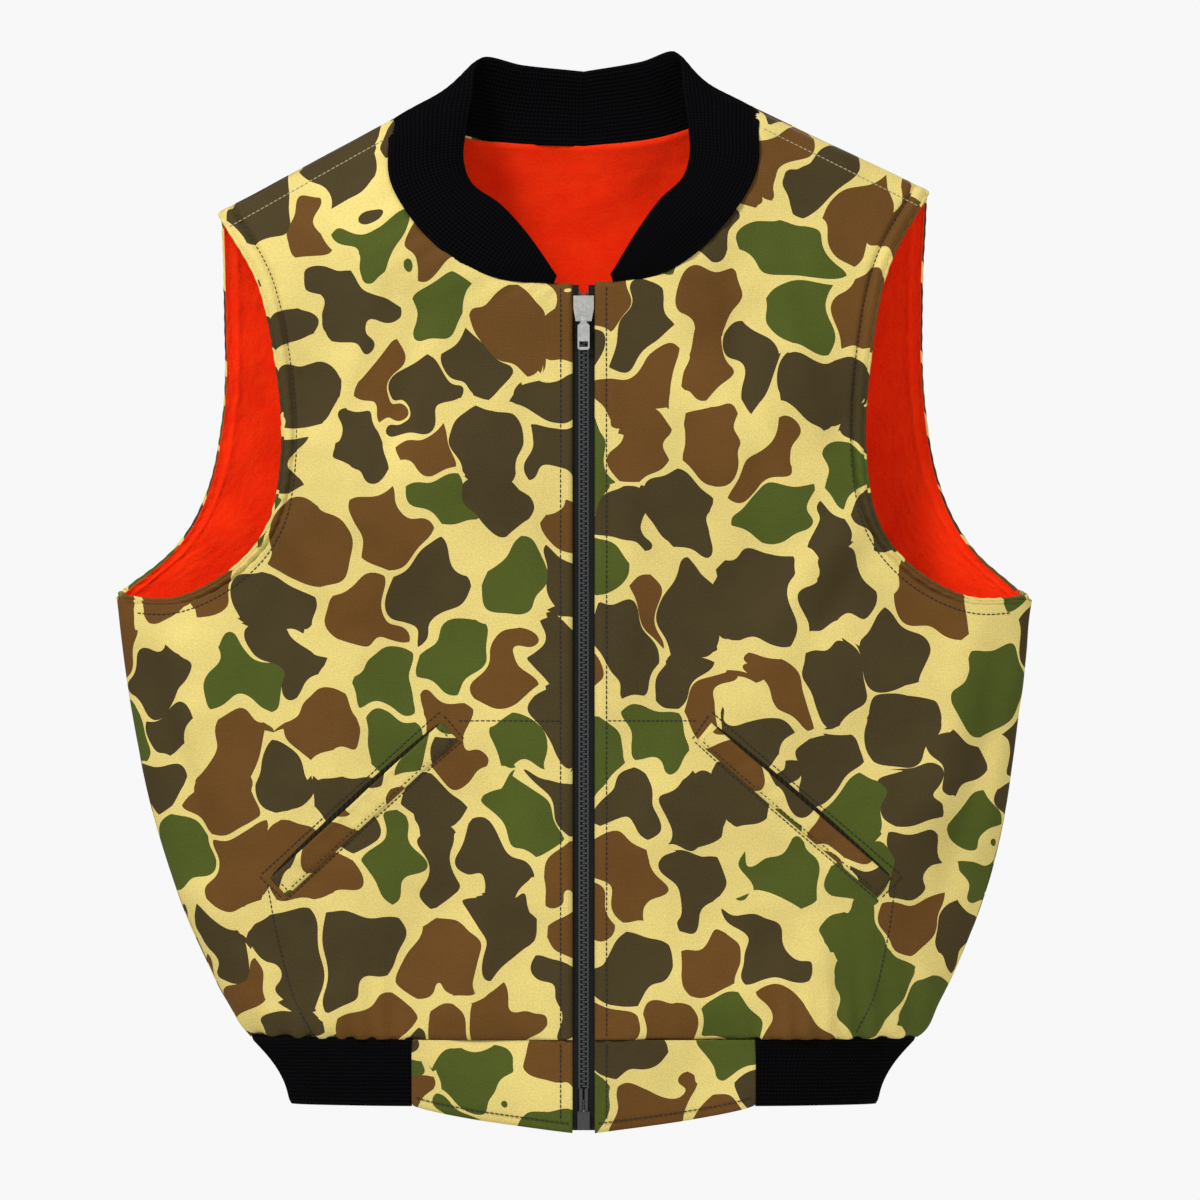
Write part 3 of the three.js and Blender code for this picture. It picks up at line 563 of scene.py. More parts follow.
def relief(x, z, folds, seed, puckered, edge_in, edge_out, run_in, run_out):
    """All the shaping of a body panel. edge_in and edge_out are distances from its inner and outer edges,
    run_in and run_out how far along them a point lies."""
    ax = np.abs(x)
    out = ripple(x, z, seed)
    for start, end, width, height in folds:
        out += 1.4 * fold(ax + 6 * np.sin(z / 60 + seed), z, start, end, width, height)
    # the body blouses over the waist seam, in gathers
    above = np.clip((z - WAIST_Z) / 70, 0, 1)
    out += 4.5 * np.sin(math.pi * above**0.6) * (1 - above)
    sideways = np.clip((ax - 90) / 40, 0, 1)
    out += sideways * 1.9 * np.exp(-(z - WAIST_Z) / 26) * np.sin(2 * math.pi * (ax + 5 * np.sin(ax / 23)) / 15.5)
    # the cloth lies flat over the zip's tape
    neck = np.clip((z - FRONT_NECK_Z + 14) / 10, 0, 1)
    beside_zip = (1 - neck) * np.exp(-((edge_in / 24) ** 4))
    out = out * (1 - beside_zip) + 0.5 * beside_zip
    # the armhole edge is turned in and topstitched, which puckers it, most of all at the underarm
    arm = puckered * np.clip((z - UNDERARM_Z + 6) / 12, 0, 1)
    low = np.clip((-180 - z) / 70, 0, 1)
    pucker = np.sin(2 * math.pi * (run_out + 2.5 * np.sin(run_out / 17)) / 9.5)
    out += arm * (1.8 + (0.5 + 0.75 * low) * pucker) * np.exp(-((edge_out - 3.6) / 3.6) ** 2)
    out -= arm * 2.0 * np.exp(-((edge_out - 8.4) / 1.5) ** 2)
    out += arm * 0.8 * np.exp(-((edge_out - 13) / 3.5) ** 2) * (0.6 + 0.6 * pucker)
    # small gathers run out from the neck seam, where the cloth dips under the collar
    swell = np.sin(2 * math.pi * (run_in + 4 * np.sin(run_in / 13)) / 17)
    out += neck * 1.5 * swell * np.exp(-edge_in / 16) * (1 - np.exp(-edge_in / 5))
    out -= neck * 1.8 * np.exp(-edge_in / 3.5)
    # the edge beside the zip is turned and topstitched
    out += (1 - neck) * (0.7 + 0.35 * np.sin(run_in / 9)) * np.exp(-((edge_in - 4) / 4) ** 2)
    out -= (1 - neck) * 1.0 * np.exp(-((edge_in - 7.6) / 1.3) ** 2)
    return out


def normals(grid):
    du = np.gradient(grid, axis=1)
    dv = np.gradient(grid, axis=0)
    n = np.cross(du, dv)
    return n / np.maximum(np.linalg.norm(n, axis=-1, keepdims=True), 1e-9)


SEAM_LAP = -0.15  # front and back reach just past the middle plane, so the side and shoulder seams are closed


class Panel:
    """A body panel's outer surface as a grid of points, with the flat place of each point for its print."""

    def __init__(self, flat, depth, facing, folds, seed, puckered, edges, uv_shift):
        x, z = flat[..., 0], flat[..., 1]
        y = facing * depth * fullness(x, z)
        self.points = np.stack([x, y, z], axis=-1)
        n = normals(self.points)
        if n[n.shape[0] // 2, n.shape[1] // 2, 1] * facing < 0:
            n = -n
        self.smooth_normals = n
        out = relief(x, z, folds, seed, puckered, *edges)
        near_edge = np.clip(np.abs(y) / 6, 0, 1)  # the seams at the side and shoulder stay put
        self.points = self.points + n * (out * (0.15 + 0.85 * near_edge))[..., None]
        self.points[..., 1] = facing * np.maximum(facing * self.points[..., 1], SEAM_LAP)
        self.normals = normals(self.points)
        if self.normals[n.shape[0] // 2, n.shape[1] // 2, 1] * facing < 0:
            self.normals = -self.normals
        # the print runs round the side with the cloth: its place across is measured along the surface
        steps = np.hypot(np.diff(x, axis=1), np.diff(y, axis=1)) * np.sign(np.diff(x, axis=1))
        run = np.concatenate([np.zeros((x.shape[0], 1)), np.cumsum(steps, axis=1)], axis=1)
        middle = int(np.argmin(np.abs(x[-1])))
        across = x[:, middle : middle + 1] + run - run[:, middle : middle + 1]
        self.uv = np.stack([across + uv_shift[0], z + uv_shift[1]], axis=-1)
        self.facing = facing

    def layer(self, depth):
        """The cloth at a depth. Layers behind the shell don't follow its puckers sideways."""
        normals_here = self.normals if depth < 1.5 else self.smooth_normals
        moved = self.points - normals_here * depth
        moved[..., 1] = self.facing * np.maximum(self.facing * moved[..., 1], SEAM_LAP)
        return moved


def distances(flat):
    """For each grid point, its distance from the panel's inner and outer edges and its run along them."""
    steps_u = np.linalg.norm(np.diff(flat, axis=1), axis=-1)
    from_inner = np.concatenate([np.zeros((flat.shape[0], 1)), np.cumsum(steps_u, axis=1)], axis=1)
    to_outer = from_inner[:, -1:] - from_inner
    inner_run = length_along(flat[:, 0])[:, None] + 0 * from_inner
    outer_run = length_along(flat[:, -1])[:, None] + 0 * from_inner
    return from_inner, to_outer, inner_run, outer_run


def front_panel(side):
    us = towards_side(np.linspace(0, 1, 84))
    vs = np.linspace(0, 1, 190)
    neck = join(smooth(NECK_FRONT)[::-1], [(ZIP_SLOT, FRONT_NECK_Z)])
    inner = join(neck, [(ZIP_SLOT, WAIST_Z)])
    armhole = smooth(ARMHOLE_FRONT)
    outer = join(armhole, SIDE)
    neck_share = length_along(neck)[-1] / length_along(inner)[-1]
    armhole_share = length_along(armhole)[-1] / length_along(outer)[-1]
    # rows that reach the underarm start well below it at the zip, or they would cross the armhole
    row_starts = np.interp(vs, [0, NECK_ROWS, armhole_share, 1], [0, neck_share, UNDERARM_ROW_START, 1])
    bottom = join([(ZIP_SLOT, WAIST_Z), (WAIST, WAIST_Z)])
    flat = coons(SHOULDER, bottom, at_shares(inner, row_starts), at_shares(outer, vs), us, vs)
    edges = distances(flat)
    flat = flat * (side, 1)
    return Panel(flat, FRONT_DEPTH, -1, FRONT_FOLDS, 11 if side > 0 else 23, 1.0, edges, (700 * side, 0))


def back_panel():
    half = towards_side(np.linspace(0, 1, 84))
    vs = np.linspace(0, 1, 170)
    flat = coons(
        join(smooth(NECK_BACK)[::-1], SHOULDER),
        join([(0, WAIST_Z), (WAIST, WAIST_Z)]),
        at_shares(join([NECK_BACK[-1], (0, WAIST_Z)]), vs),
        at_shares(join(smooth(ARMHOLE_BACK), SIDE), vs),
        half, vs,
    )
    from_inner, to_outer, inner_run, outer_run = distances(flat)
    far = from_inner * 0 + 200
    whole = np.concatenate([(flat * (-1, 1))[:, :0:-1], flat], axis=1)
    edges = [
        np.concatenate([far[:, :0:-1], far], axis=1),
        np.concatenate([to_outer[:, :0:-1], to_outer], axis=1),
        np.concatenate([inner_run[:, :0:-1], inner_run], axis=1),
        np.concatenate([outer_run[:, :0:-1], outer_run], axis=1),
    ]
    return Panel(whole, BACK_DEPTH, 1, BACK_FOLDS, 37, 0.3, edges, (0, 900))


# ---- meshes ----


SWAY = 6.5  # how far the cloth above the waist hangs towards -X of the zip
TILT = 7.0  # how much higher the +X shoulder tip hangs than the middle


def hung(points):
    """The vest hangs a little askew: cloth beside the zip is shifted and the shoulders are tilted."""
    moved = np.array(points, float)
    x, z = moved[:, 0].copy(), moved[:, 2].copy()
    beside = np.clip((np.abs(x) - 16) / 90, 0, 1)
    high = np.clip((z + 570) / 260, 0, 1)
    moved[:, 0] -= SWAY * (beside * beside * (3 - 2 * beside)) * (high * high * (3 - 2 * high))
    top = np.clip((z - UNDERARM_Z) / 240, 0, 1)
    moved[:, 2] += TILT * x / SHOULDER_TIP[0] * (top * top * (3 - 2 * top))
    return moved


def make_mesh(name, points, faces, uv=None, material=None):
    """A new object from points in mm, faces and a flat place in mm for each point."""
    mesh = bpy.data.meshes.new(name)
    mesh.from_pydata((hung(points) * MM).tolist(), [], faces)
    mesh.polygons.foreach_set("use_smooth", [True] * len(mesh.polygons))
    if uv is not None:
        layer = mesh.uv_layers.new(name="cloth")
        corner = np.zeros(len(mesh.loops), int)
        mesh.loops.foreach_get("vertex_index", corner)
        layer.data.foreach_set("uv", (np.asarray(uv)[corner] * MM).ravel())
    mesh.update()
    made = bpy.data.objects.new(name, mesh)
    bpy.context.scene.collection.objects.link(made)
    if material:
        mesh.materials.append(material)
    if signed_volume(mesh) < 0:
        mesh.flip_normals()
    return made


def signed_volume(mesh):
    mesh.calc_loop_triangles()
    co = np.empty(len(mesh.vertices) * 3)
    mesh.vertices.foreach_get("co", co)
    co = co.reshape(-1, 3)
    tri = np.empty(len(mesh.loop_triangles) * 3, int)
    mesh.loop_triangles.foreach_get("vertices", tri)
    a, b, c = (co[tri.reshape(-1, 3)[:, k]] for k in range(3))
    return float(np.einsum("ij,ij->i", a, np.cross(b, c)).sum() / 6)


def grid_faces(rows, columns, shift=0, turned=False):
    j, i = np.meshgrid(np.arange(rows - 1), np.arange(columns - 1), indexing="ij")
    a = (j * columns + i).ravel() + shift
    quads = np.stack([a, a + 1, a + columns + 1, a + columns], axis=1)
    return (quads[:, ::-1] if turned else quads).tolist()


def cloth_solid(name, panel, outer_depth, inner_depth, material, rough=None):
    """A closed layer of cloth between two depths behind a panel's surface."""
    outer, inner = panel.layer(outer_depth), panel.layer(inner_depth)
    if rough is not None:
        inner = inner - panel.normals * rough[..., None]
    return between(name, outer, inner, panel.uv, material)


def ring_solid(name, rings, uv, material):
    """A closed solid from rings of points along a path, with a flat cap on each end."""
    count, around = rings.shape[:2]
    faces = []
    for k in range(count - 1):
        for i in range(around):
            j = (i + 1) % around
            faces.append([k * around + i, k * around + j, (k + 1) * around + j, (k + 1) * around + i])
    faces.append(list(range(around))[::-1])
    faces.append([(count - 1) * around + i for i in range(around)])
    return make_mesh(name, rings.reshape(-1, 3), faces, uv.reshape(-1, 2), material)


def knit_band(name, middle, thickness, material, rib_pitch=0.0, rib_depth=0.0, uv_shift=(0, 0)):
    """A folded double band. middle is a grid, from the seam row to the free edge row, of the surface
    between its two faces. Ribs run from row to row."""
    rows, columns = middle.shape[:2]
    n = normals(middle)
    w = np.linspace(0, 1, rows)
    half = thickness / 2 * np.sqrt(np.clip(1 - np.clip((w - 0.86) / 0.14, 0, 1) ** 2, 0.02, 1))
    half = half * (0.62 + 0.38 * np.sin(math.pi * np.clip(w * 1.05, 0, 1)) ** 0.6)
    run = length_along(middle[rows // 2])
    ribs = rib_depth * np.cos(2 * math.pi * run / rib_pitch) if rib_pitch else 0 * run
    from_seam = np.clip(w / 0.12, 0, 1)[:, None]  # the ribs are pressed flat where the band is sewn in
    thick = half[:, None] + ribs[None, :] * np.clip(half[:, None] / (thickness / 4), 0, 1) * from_seam
    outer = middle + n * thick[..., None]
    inner = middle - n * thick[..., None]
    rings = np.concatenate([outer, inner[::-1]], axis=0).transpose(1, 0, 2)
    across = np.concatenate([length_along(middle[:, columns // 2])] * 2)
    across[rows:] = 2 * across[rows - 1] - across[:rows][::-1] + 3
    uv = np.stack(np.broadcast_arrays(run[:, None] + uv_shift[0], across[None, :] + uv_shift[1]), axis=-1)
    return ring_solid(name, rings, uv, material)


def tube(name, line, out, deep, width, height, material, uv, around=10, swell=None):
    """A soft roll along a line of points: width along out and height along deep."""
    angle = np.linspace(0, 2 * math.pi, around, endpoint=False)
    size = np.ones(len(line)) if swell is None else swell
    rings = (
        line[:, None]
        + out[:, None] * (np.cos(angle)[None, :, None] * (width * size)[:, None, None])
        + deep[:, None] * (np.sin(angle)[None, :, None] * (height * size)[:, None, None])
    )
    place = uv[:, None] + np.stack([width * np.cos(angle), height * np.sin(angle)], axis=-1)[None]
    return ring_solid(name, rings, place, material)


# ---- where every piece goes ----

FRONT_BODY = {1: "left_front", -1: "right_front"}
SIDE_NAME = {1: "left", -1: "right"}


def blend_front(piece):
    """Bakes the piece's place into its mesh."""
    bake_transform(piece)


class Surface:
    """Finds the place and direction of cloth in front of or behind a point in X and Z."""

    def __init__(self, grid, facing):
        self.tree = BVHTree.FromPolygons(grid.reshape(-1, 3).tolist(), grid_faces(*grid.shape[:2]))
        self.facing = facing

    def at(self, x, z):
        start = Vector((x, self.facing * 300, z))
        place, normal, _, _ = self.tree.ray_cast(start, Vector((0, -self.facing, 0)))
        if place is None:
            place, normal, _, _ = self.tree.find_nearest(Vector((x, self.facing * 10, z)))
        if normal.y * self.facing < 0:
            normal = -normal
        return np.array(place), np.array(normal)


def stitches(surface, line, length=2.8, gap=0.45, thick=0.42, lift=0.1):
    """Vertices and faces of a row of stitches along a line in X and Z: each is a short six-sided bead."""
    total = length_along(line)[-1]
    count = int(total / (length + gap))
    points, faces = [], []
    for k in range(count):
        ends = at_shares(line, np.array([k * (length + gap) + gap / 2, (k + 1) * (length + gap) - gap / 2]) / total)
        (a, na), (b, nb) = (surface.at(*e) for e in ends)
        n = (na + nb) / np.linalg.norm(na + nb)
        along = (b - a) / max(np.linalg.norm(b - a), 1e-6)
        side = np.cross(n, along)
        base = len(points)
        for t, size in ((0.0, 0.35), (0.25, 1.0), (0.75, 1.0), (1.0, 0.35)):
            centre = a + (b - a) * t + n * (lift * (1 if 0 < t < 1 else -1.5))
            for i in range(6):
                turn = i * math.pi / 3
                points.append(centre + (n * math.cos(turn) + side * math.sin(turn)) * thick * size)
        for r in range(3):
            for i in range(6):
                j = (i + 1) % 6
                faces.append([base + r * 6 + i, base + r * 6 + j, base + r * 6 + 6 + j, base + r * 6 + 6 + i])
        faces.append([base + i for i in range(5, -1, -1)])
        faces.append([base + 18 + i for i in range(6)])
    return points, faces


def stitch_piece(name, surface, lines, material, **sizes):
    points, faces = [], []
    for line in lines:
        p, f = stitches(surface, line, **sizes)
        faces += [[i + len(points) for i in face] for face in f]
        points += p
    return make_mesh(name, np.array(points), faces, material=material)


def inside_line(line, distance):
    """The line moved sideways, to the right of its direction when distance is positive."""
    d = np.gradient(line, axis=0)
    d = d / np.linalg.norm(d, axis=1, keepdims=True)
    return line + np.stack([d[:, 1], -d[:, 0]], axis=1) * distance


make_camera()
make_studio()

POPLIN = poplin()
FLEECE = fleece()
POCKETING = pocketing()
KNIT = knit()
TAPE = tape_cloth()
ACETAL = acetal()
NICKEL = nickel()
THREAD = thread()
PALE_THREAD = pale_thread()

SHELL_THICKNESS = 1.0
LINING_DEPTH = 3.1
LINING_THICKNESS = 2.4


def pile(shape, seed):
    """Small lumps of the fleece's brushed face, in mm."""
    return 0.22 * np.random.default_rng(seed).standard_normal(shape).clip(-2, 2)


def make_body():
    panels = {side: front_panel(side) for side in (1, -1)}
    panels[0] = back_panel()
    for side in (1, -1):
        word = SIDE_NAME[side]
        shell = cloth_solid(f"front_shell_{word}", panels[side], 0, SHELL_THICKNESS, POPLIN)
        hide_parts(f"shell_front_{word}", f"shell_side_{word}")
        lining = cloth_solid(
            f"front_lining_{word}", panels[side], LINING_DEPTH, LINING_DEPTH + LINING_THICKNESS, FLEECE,
            pile(panels[side].points.shape[:2], 5 + side),
        )
        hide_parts(f"lining_front_{word}", f"lining_side_{word}")
        for piece in (shell, lining):
            blend_front(piece)
    shell = cloth_solid("back_shell", panels[0], 0, SHELL_THICKNESS, POPLIN)
    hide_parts("shell_back")
    lining = cloth_solid(
        "back_lining", panels[0], LINING_DEPTH, LINING_DEPTH + LINING_THICKNESS, FLEECE,
        pile(panels[0].points.shape[:2], 9),
    )
    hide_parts("lining_back")
    for piece in (shell, lining):
        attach(piece, "back")
    return panels


# ---- collar ----

FREE_EDGE = [
    (17.5, -45.5, -93), (35, -45, -66), (51, -42, -46), (68, -34, -31), (73, -27, -16),
    (72, -18, 4), (69, -7, 27), (64, 6, 52), (38, 19, 47), (0, 24, 42),
]
COLLAR_THICKNESS = 5.0
SAMPLES_BETWEEN_KNOTS = 60


def on_front(x, z):
    return (x, -FRONT_DEPTH * float(fullness(x, z)), z)


def on_back(x, z):
    return (x, BACK_DEPTH * float(fullness(x, z)), z)


def make_collar():
    seam_points = [on_front(x, z) for x, z in NECK_FRONT] + [on_back(x, z) for x, z in NECK_BACK[1:]]
    # samples spread evenly between the points, as a pair of lines must be
    seam = smooth(seam_points, SAMPLES_BETWEEN_KNOTS * (len(seam_points) - 1))
    edge = smooth(FREE_EDGE, SAMPLES_BETWEEN_KNOTS * (len(FREE_EDGE) - 1))
    shares = length_along((seam + edge) / 2)
    shares = shares / shares[-1]
    t = np.linspace(0, 1, 900)
    seam, edge = (np.stack([np.interp(t, shares, c[:, k]) for k in range(3)], axis=1) for c in (seam, edge))
    w = np.linspace(-0.045, 1, 24)[:, None, None]
    for side in (1, -1):
        middle = seam[None] * (1 - w) + edge[None] * w
        span = edge - seam
        n = np.cross(np.gradient(seam, axis=0), span)
        n = n / np.linalg.norm(n, axis=1, keepdims=True)
        n = n * np.sign(-(n[450, 1]) if abs(n[450, 1]) > 0 else 1)
        reach = np.minimum(np.linalg.norm(span, axis=1) / 30, 1)[None, :, None]
        bulge = 3.0 * np.sin(math.pi * np.clip(w, 0, 1)) * reach
        middle = middle + n[None] * (bulge - COLLAR_THICKNESS / 2 + 0.7)
        middle = middle * (side, 1, 1)
        word = SIDE_NAME[side]
        piece = knit_band(f"collar_{word}", middle, COLLAR_THICKNESS, KNIT, 2.3, 0.42, (side * 500, 0))
        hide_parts(f"collar_front_{word}", "collar_back")
        blend_front(piece)


# ---- waist ----

BAND_TOP = WAIST_Z - 0.3
RIB_FRONT_X = 111.0
WAISTBAND_SIDE_DEPTH = 42  # height of the front waistband beside the rib
WAISTBAND_EXTRA_DEPTH = 18  # how much deeper it is beside the zip
RIB_THICKNESS = 4.2
WAISTBAND_THICKNESS = 3.6


def waistband_height(u):
    """Height of the front waistband, from the zip at 0 to the rib at 1."""
    return WAISTBAND_SIDE_DEPTH + WAISTBAND_EXTRA_DEPTH * (1 - u) ** 0.7


def make_waist():
    """The front waistbands and the rib. Returns the outer surface of each waistband, for its stitching."""
    rows = np.linspace(0, 1, 20)
    band_surfaces = {}
    for side in (1, -1):
        word = SIDE_NAME[side]
        u = np.linspace(0, 1, 60)
        x = ZIP_SLOT + (RIB_FRONT_X - ZIP_SLOT) * u
        height = waistband_height(u)
        xs = np.broadcast_to(x, (20, 60))
        zs = BAND_TOP - height[None] * rows[:, None]
        wave = 0.7 * np.sin(x / 8.0 + side)[None] * rows[:, None]
        ys = -FRONT_DEPTH * fullness(xs, zs) + WAISTBAND_THICKNESS / 2 - wave
        middle = np.stack([xs * side, ys, zs], axis=-1)
        band_surfaces[side] = Surface(middle - (0, WAISTBAND_THICKNESS / 2, 0), -1)
        band = knit_band(f"waistband_{word}", middle, WAISTBAND_THICKNESS, POPLIN, uv_shift=(300 * side, 5000))
        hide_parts(f"waistband_front_{word}")
        blend_front(band)

        u = 1 - (1 - np.linspace(0, 1, 420)) ** 1.25
        zs = BAND_TOP + 1.5 - (RIB_DEPTH + 1.5) * rows[:, None] + 0 * u[None]
        reach = half_width(np.minimum(zs, WAIST_Z)) - RIB_THICKNESS / 2
        xs = RIB_FRONT_X + (reach - RIB_FRONT_X) * u[None]
        gathers = 1.2 * np.sin(xs / 3.4) * np.exp(-rows[:, None] * 5) + 0.8 * np.sin(xs / 11 + rows[:, None] * 2)
        bulge = np.sqrt(np.clip(1 - (xs / reach) ** 2.2, 0, 1))
        ys = -(FRONT_DEPTH - RIB_THICKNESS / 2) * bulge - gathers * (1 - u[None]) ** 0.5
        ys[:, -1] = -SEAM_LAP
        piece = knit_band(
            f"waist_rib_front_{word}_knit", np.stack([xs * side, ys, zs], axis=-1),
            RIB_THICKNESS, KNIT, 2.3, 0.4, (side * 900, 200),
        )
        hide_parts(f"waist_rib_front_{word}")
        blend_front(piece)
    half = 1 - (1 - np.linspace(0, 1, 700)) ** 1.25
    u = np.concatenate([-half[:0:-1], half])
    zs = BAND_TOP + 1.5 - (RIB_DEPTH + 1.5) * rows[:, None] + 0 * u[None]
    reach = half_width(np.minimum(zs, WAIST_Z)) - RIB_THICKNESS / 2
    xs = reach * u[None]
    gathers = 1.2 * np.sin(xs / 3.4) * np.exp(-rows[:, None] * 5) + 0.9 * np.sin(xs / 13 + rows[:, None] * 2)
    bulge = np.sqrt(1 - np.abs(u[None]) ** 2.2)
    ys = (BACK_DEPTH - RIB_THICKNESS / 2) * bulge + gathers * (1 - np.abs(u[None])) ** 0.5
    ys[:, [0, -1]] = SEAM_LAP
    piece = knit_band(
        "waist_rib_back_knit", np.stack([xs, ys, zs], axis=-1), RIB_THICKNESS, KNIT, 2.3, 0.4, (2000, 200),
    )
    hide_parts("waist_rib_back")
    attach(piece, "back")
    return band_surfaces


# ---- armhole edges, pockets, stitching ----


def armhole_line(panel, column, way):
    """The middle of a panel's turned edge from the shoulder down to the underarm, and which way is out."""
    last = int(np.argmax(np.abs(panel.points[:, column, 0])))
    line = (panel.points - panel.smooth_normals * (LINING_DEPTH + 1.6) / 2)[:last, column]
    inward = (panel.points[:, column - way] - panel.points[:, column])[:last]
    return line, -inward / np.linalg.norm(inward, axis=1, keepdims=True), panel.uv[:last, column]


def averaged(values, reach):
    """Each value replaced by the mean of its neighbours within reach, with the ends kept."""
    padded = np.pad(values, ((reach, reach), (0, 0)), mode="edge")
    return sum(padded[k : k + len(values)] for k in range(2 * reach + 1)) / (2 * reach + 1)


def make_edges(panels):
    """The turned edge of each armhole: one roll down the front, round the underarm and up the back."""
    for side in (1, -1):
        front, front_out, front_uv = armhole_line(panels[side], -1, 1)
        back, back_out, back_uv = armhole_line(panels[0], -1 if side > 0 else 0, side)
        line = join(front + front_out * 0.4, (back - back_out * 1.0)[::-1])
        steps = length_along(line)
        even = np.arange(0, steps[-1], 1.2)
        parts = (line, join(front_out, back_out[::-1]), join(front_uv, back_uv[::-1]))
        line, out, uv = (np.stack([np.interp(even, steps, p[:, k]) for k in range(p.shape[1])], axis=1) for p in parts)
        line = averaged(line, 3)
        ahead = np.gradient(line, axis=0)
        ahead = averaged(ahead, 2)
        ahead /= np.linalg.norm(ahead, axis=1, keepdims=True)
        out = averaged(out, 5)
        out -= ahead * np.sum(out * ahead, axis=1, keepdims=True)
        out /= np.linalg.norm(out, axis=1, keepdims=True)
        swell = 1 + 0.07 * np.sin(even / 1.5)
        name = f"armhole_edge_{SIDE_NAME[side]}"
        piece = tube(name, line, out, np.cross(ahead, out), 1.7, 2.7, POPLIN, uv, swell=swell)
        blend_front(piece)


WELT_TOP = (82.0, -388.0)
WELT_LENGTH = 152.0
WELT_WIDTH = 15.5
WELT_SLOPE = math.radians(41.5)


def on_welt(u, v, side):
    """A place on the pocket welt: u along it from the top, v across it from its outer edge."""
    x = WELT_TOP[0] + u * WELT_LENGTH * math.cos(WELT_SLOPE) + (0.5 - v) * WELT_WIDTH * math.sin(WELT_SLOPE)
    z = WELT_TOP[1] - u * WELT_LENGTH * math.sin(WELT_SLOPE) + (0.5 - v) * WELT_WIDTH * math.cos(WELT_SLOPE)
    return side * x, z


def rim_faces(rows, columns):
    """Faces that close the gap round the edge between two grids of one size."""
    count = rows * columns
    rim = (
        [j * columns for j in range(rows)]
        + [(rows - 1) * columns + i for i in range(1, columns)]
        + [j * columns + columns - 1 for j in range(rows - 2, -1, -1)]
        + [i for i in range(columns - 2, 0, -1)]
    )
    return [[a, b, b + count, a + count] for a, b in zip(rim, rim[1:] + rim[:1])]


def between(name, outer, inner, uv, material):
    """A closed piece of cloth between two grids of points."""
    rows, columns = outer.shape[:2]
    faces = grid_faces(rows, columns) + grid_faces(rows, columns, rows * columns, True)
    faces = faces + rim_faces(rows, columns)
    points = np.vstack([outer.reshape(-1, 3), inner.reshape(-1, 3)])
    return make_mesh(name, points, faces, np.vstack([uv.reshape(-1, 2)] * 2), material)


def on_grid(us, vs, place_at):
    """Calls place_at(u, v) over a grid; it returns an outer point, an inner point and a flat place."""
    found = [[place_at(u, v) for u in us] for v in vs]
    return (np.array([[cell[k] for cell in row] for row in found]) for k in range(3))


BAG_FRONT = 16.0
BAG_SIDE_DRAFT = 24.0
BAG_TOP_Z = WELT_TOP[1] + 6
BAG_BOTTOM_Z = WAIST_Z + 2


def on_bag(u, v, side):
    """A place on the pocket bag: its top follows the welt, its bottom lies just above the waist seam."""
    end_x = WELT_TOP[0] + WELT_LENGTH * math.cos(WELT_SLOPE)
    end_z = WELT_TOP[1] - WELT_LENGTH * math.sin(WELT_SLOPE)
    top = join([(BAG_FRONT, BAG_TOP_Z), (WELT_TOP[0], BAG_TOP_Z), (end_x, end_z)])
    high_x, high_z = at_shares(top, np.array([u]))[0]
    low_x = BAG_FRONT + (end_x - BAG_SIDE_DRAFT - BAG_FRONT) * u
    return side * (high_x + (low_x - high_x) * v), high_z + (BAG_BOTTOM_Z - high_z) * v


def make_pockets(surfaces):
    for side in (1, -1):
        word = SIDE_NAME[side]
        surface = surfaces[side]

        def welt(u, v):
            place, normal = surface.at(*on_welt(u, v, side))
            end, rim = min(u, 1 - u) * WELT_LENGTH, min(v, 1 - v) * WELT_WIDTH
            round_off = math.sqrt(max(1 - max(1 - min(end, rim) / 1.6, 0) ** 2, 0))
            gape = 2.4 * math.exp(-v * 4) * math.sin(math.pi * u)
            dip = -0.7 * math.exp(-(((v - 0.86) / 0.05) ** 2)) - 0.5 * math.exp(-(((end - 3) / 0.9) ** 2))
            lump = 0.25 * math.sin(u * 75 + 3 * v) + 0.5 * math.sin(math.pi * v) * math.sin(u * 19 + side)
            top = place + normal * (0.35 + (1.6 + lump) * round_off + gape + dip)
            return top, place + normal * (0.25 + gape * 0.8), (u * WELT_LENGTH + 40 * side, v * WELT_WIDTH + 7000)

        # a dark lens-shaped strip of pocketing lies over the shell at the welt's mouth: partly the pocketing seen in
        # the slit, partly the slit's shade painted in dark cloth
        def facing(u, v):
            across = 0.14 - v * (0.18 + 0.17 * math.sin(math.pi * u) ** 0.7)
            place, normal = surface.at(*on_welt(0.015 + 0.97 * u, across, side))
            return place + normal * 0.35, place - normal * 0.15, (u * WELT_LENGTH, v * 5)

        def bag(u, v):
            x, z = on_bag(u, v, side)
            place, normal = surface.at(x, z)
            puff = 0.25 * math.sin(u * 9 + 2) * math.sin(v * 7)
            return place - normal * (1.25 + puff * 0.2), place - normal * (2.55 + puff), (x, z)

        piece = between(f"welt_{word}", *on_grid(np.linspace(0, 1, 90), np.linspace(0, 1, 14), welt), POPLIN)
        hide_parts(f"pocket_welt_{word}")
        blend_front(piece)
        # the strip at the welt's mouth: pocketing cloth, dark partly as painted shade of the slit
        piece = between(
            f"pocket_mouth_painted_shade_{word}", *on_grid(np.linspace(0, 1, 70), np.linspace(0, 1, 6), facing), POCKETING,
        )
        blend_front(piece)
        piece = between(
            f"pocket_bag_{word}_cloth",
            *on_grid(np.linspace(0, 1, 40), np.linspace(0, 1, 40), bag),
            POCKETING,
        )
        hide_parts(f"pocket_bag_{word}")
        blend_front(piece)


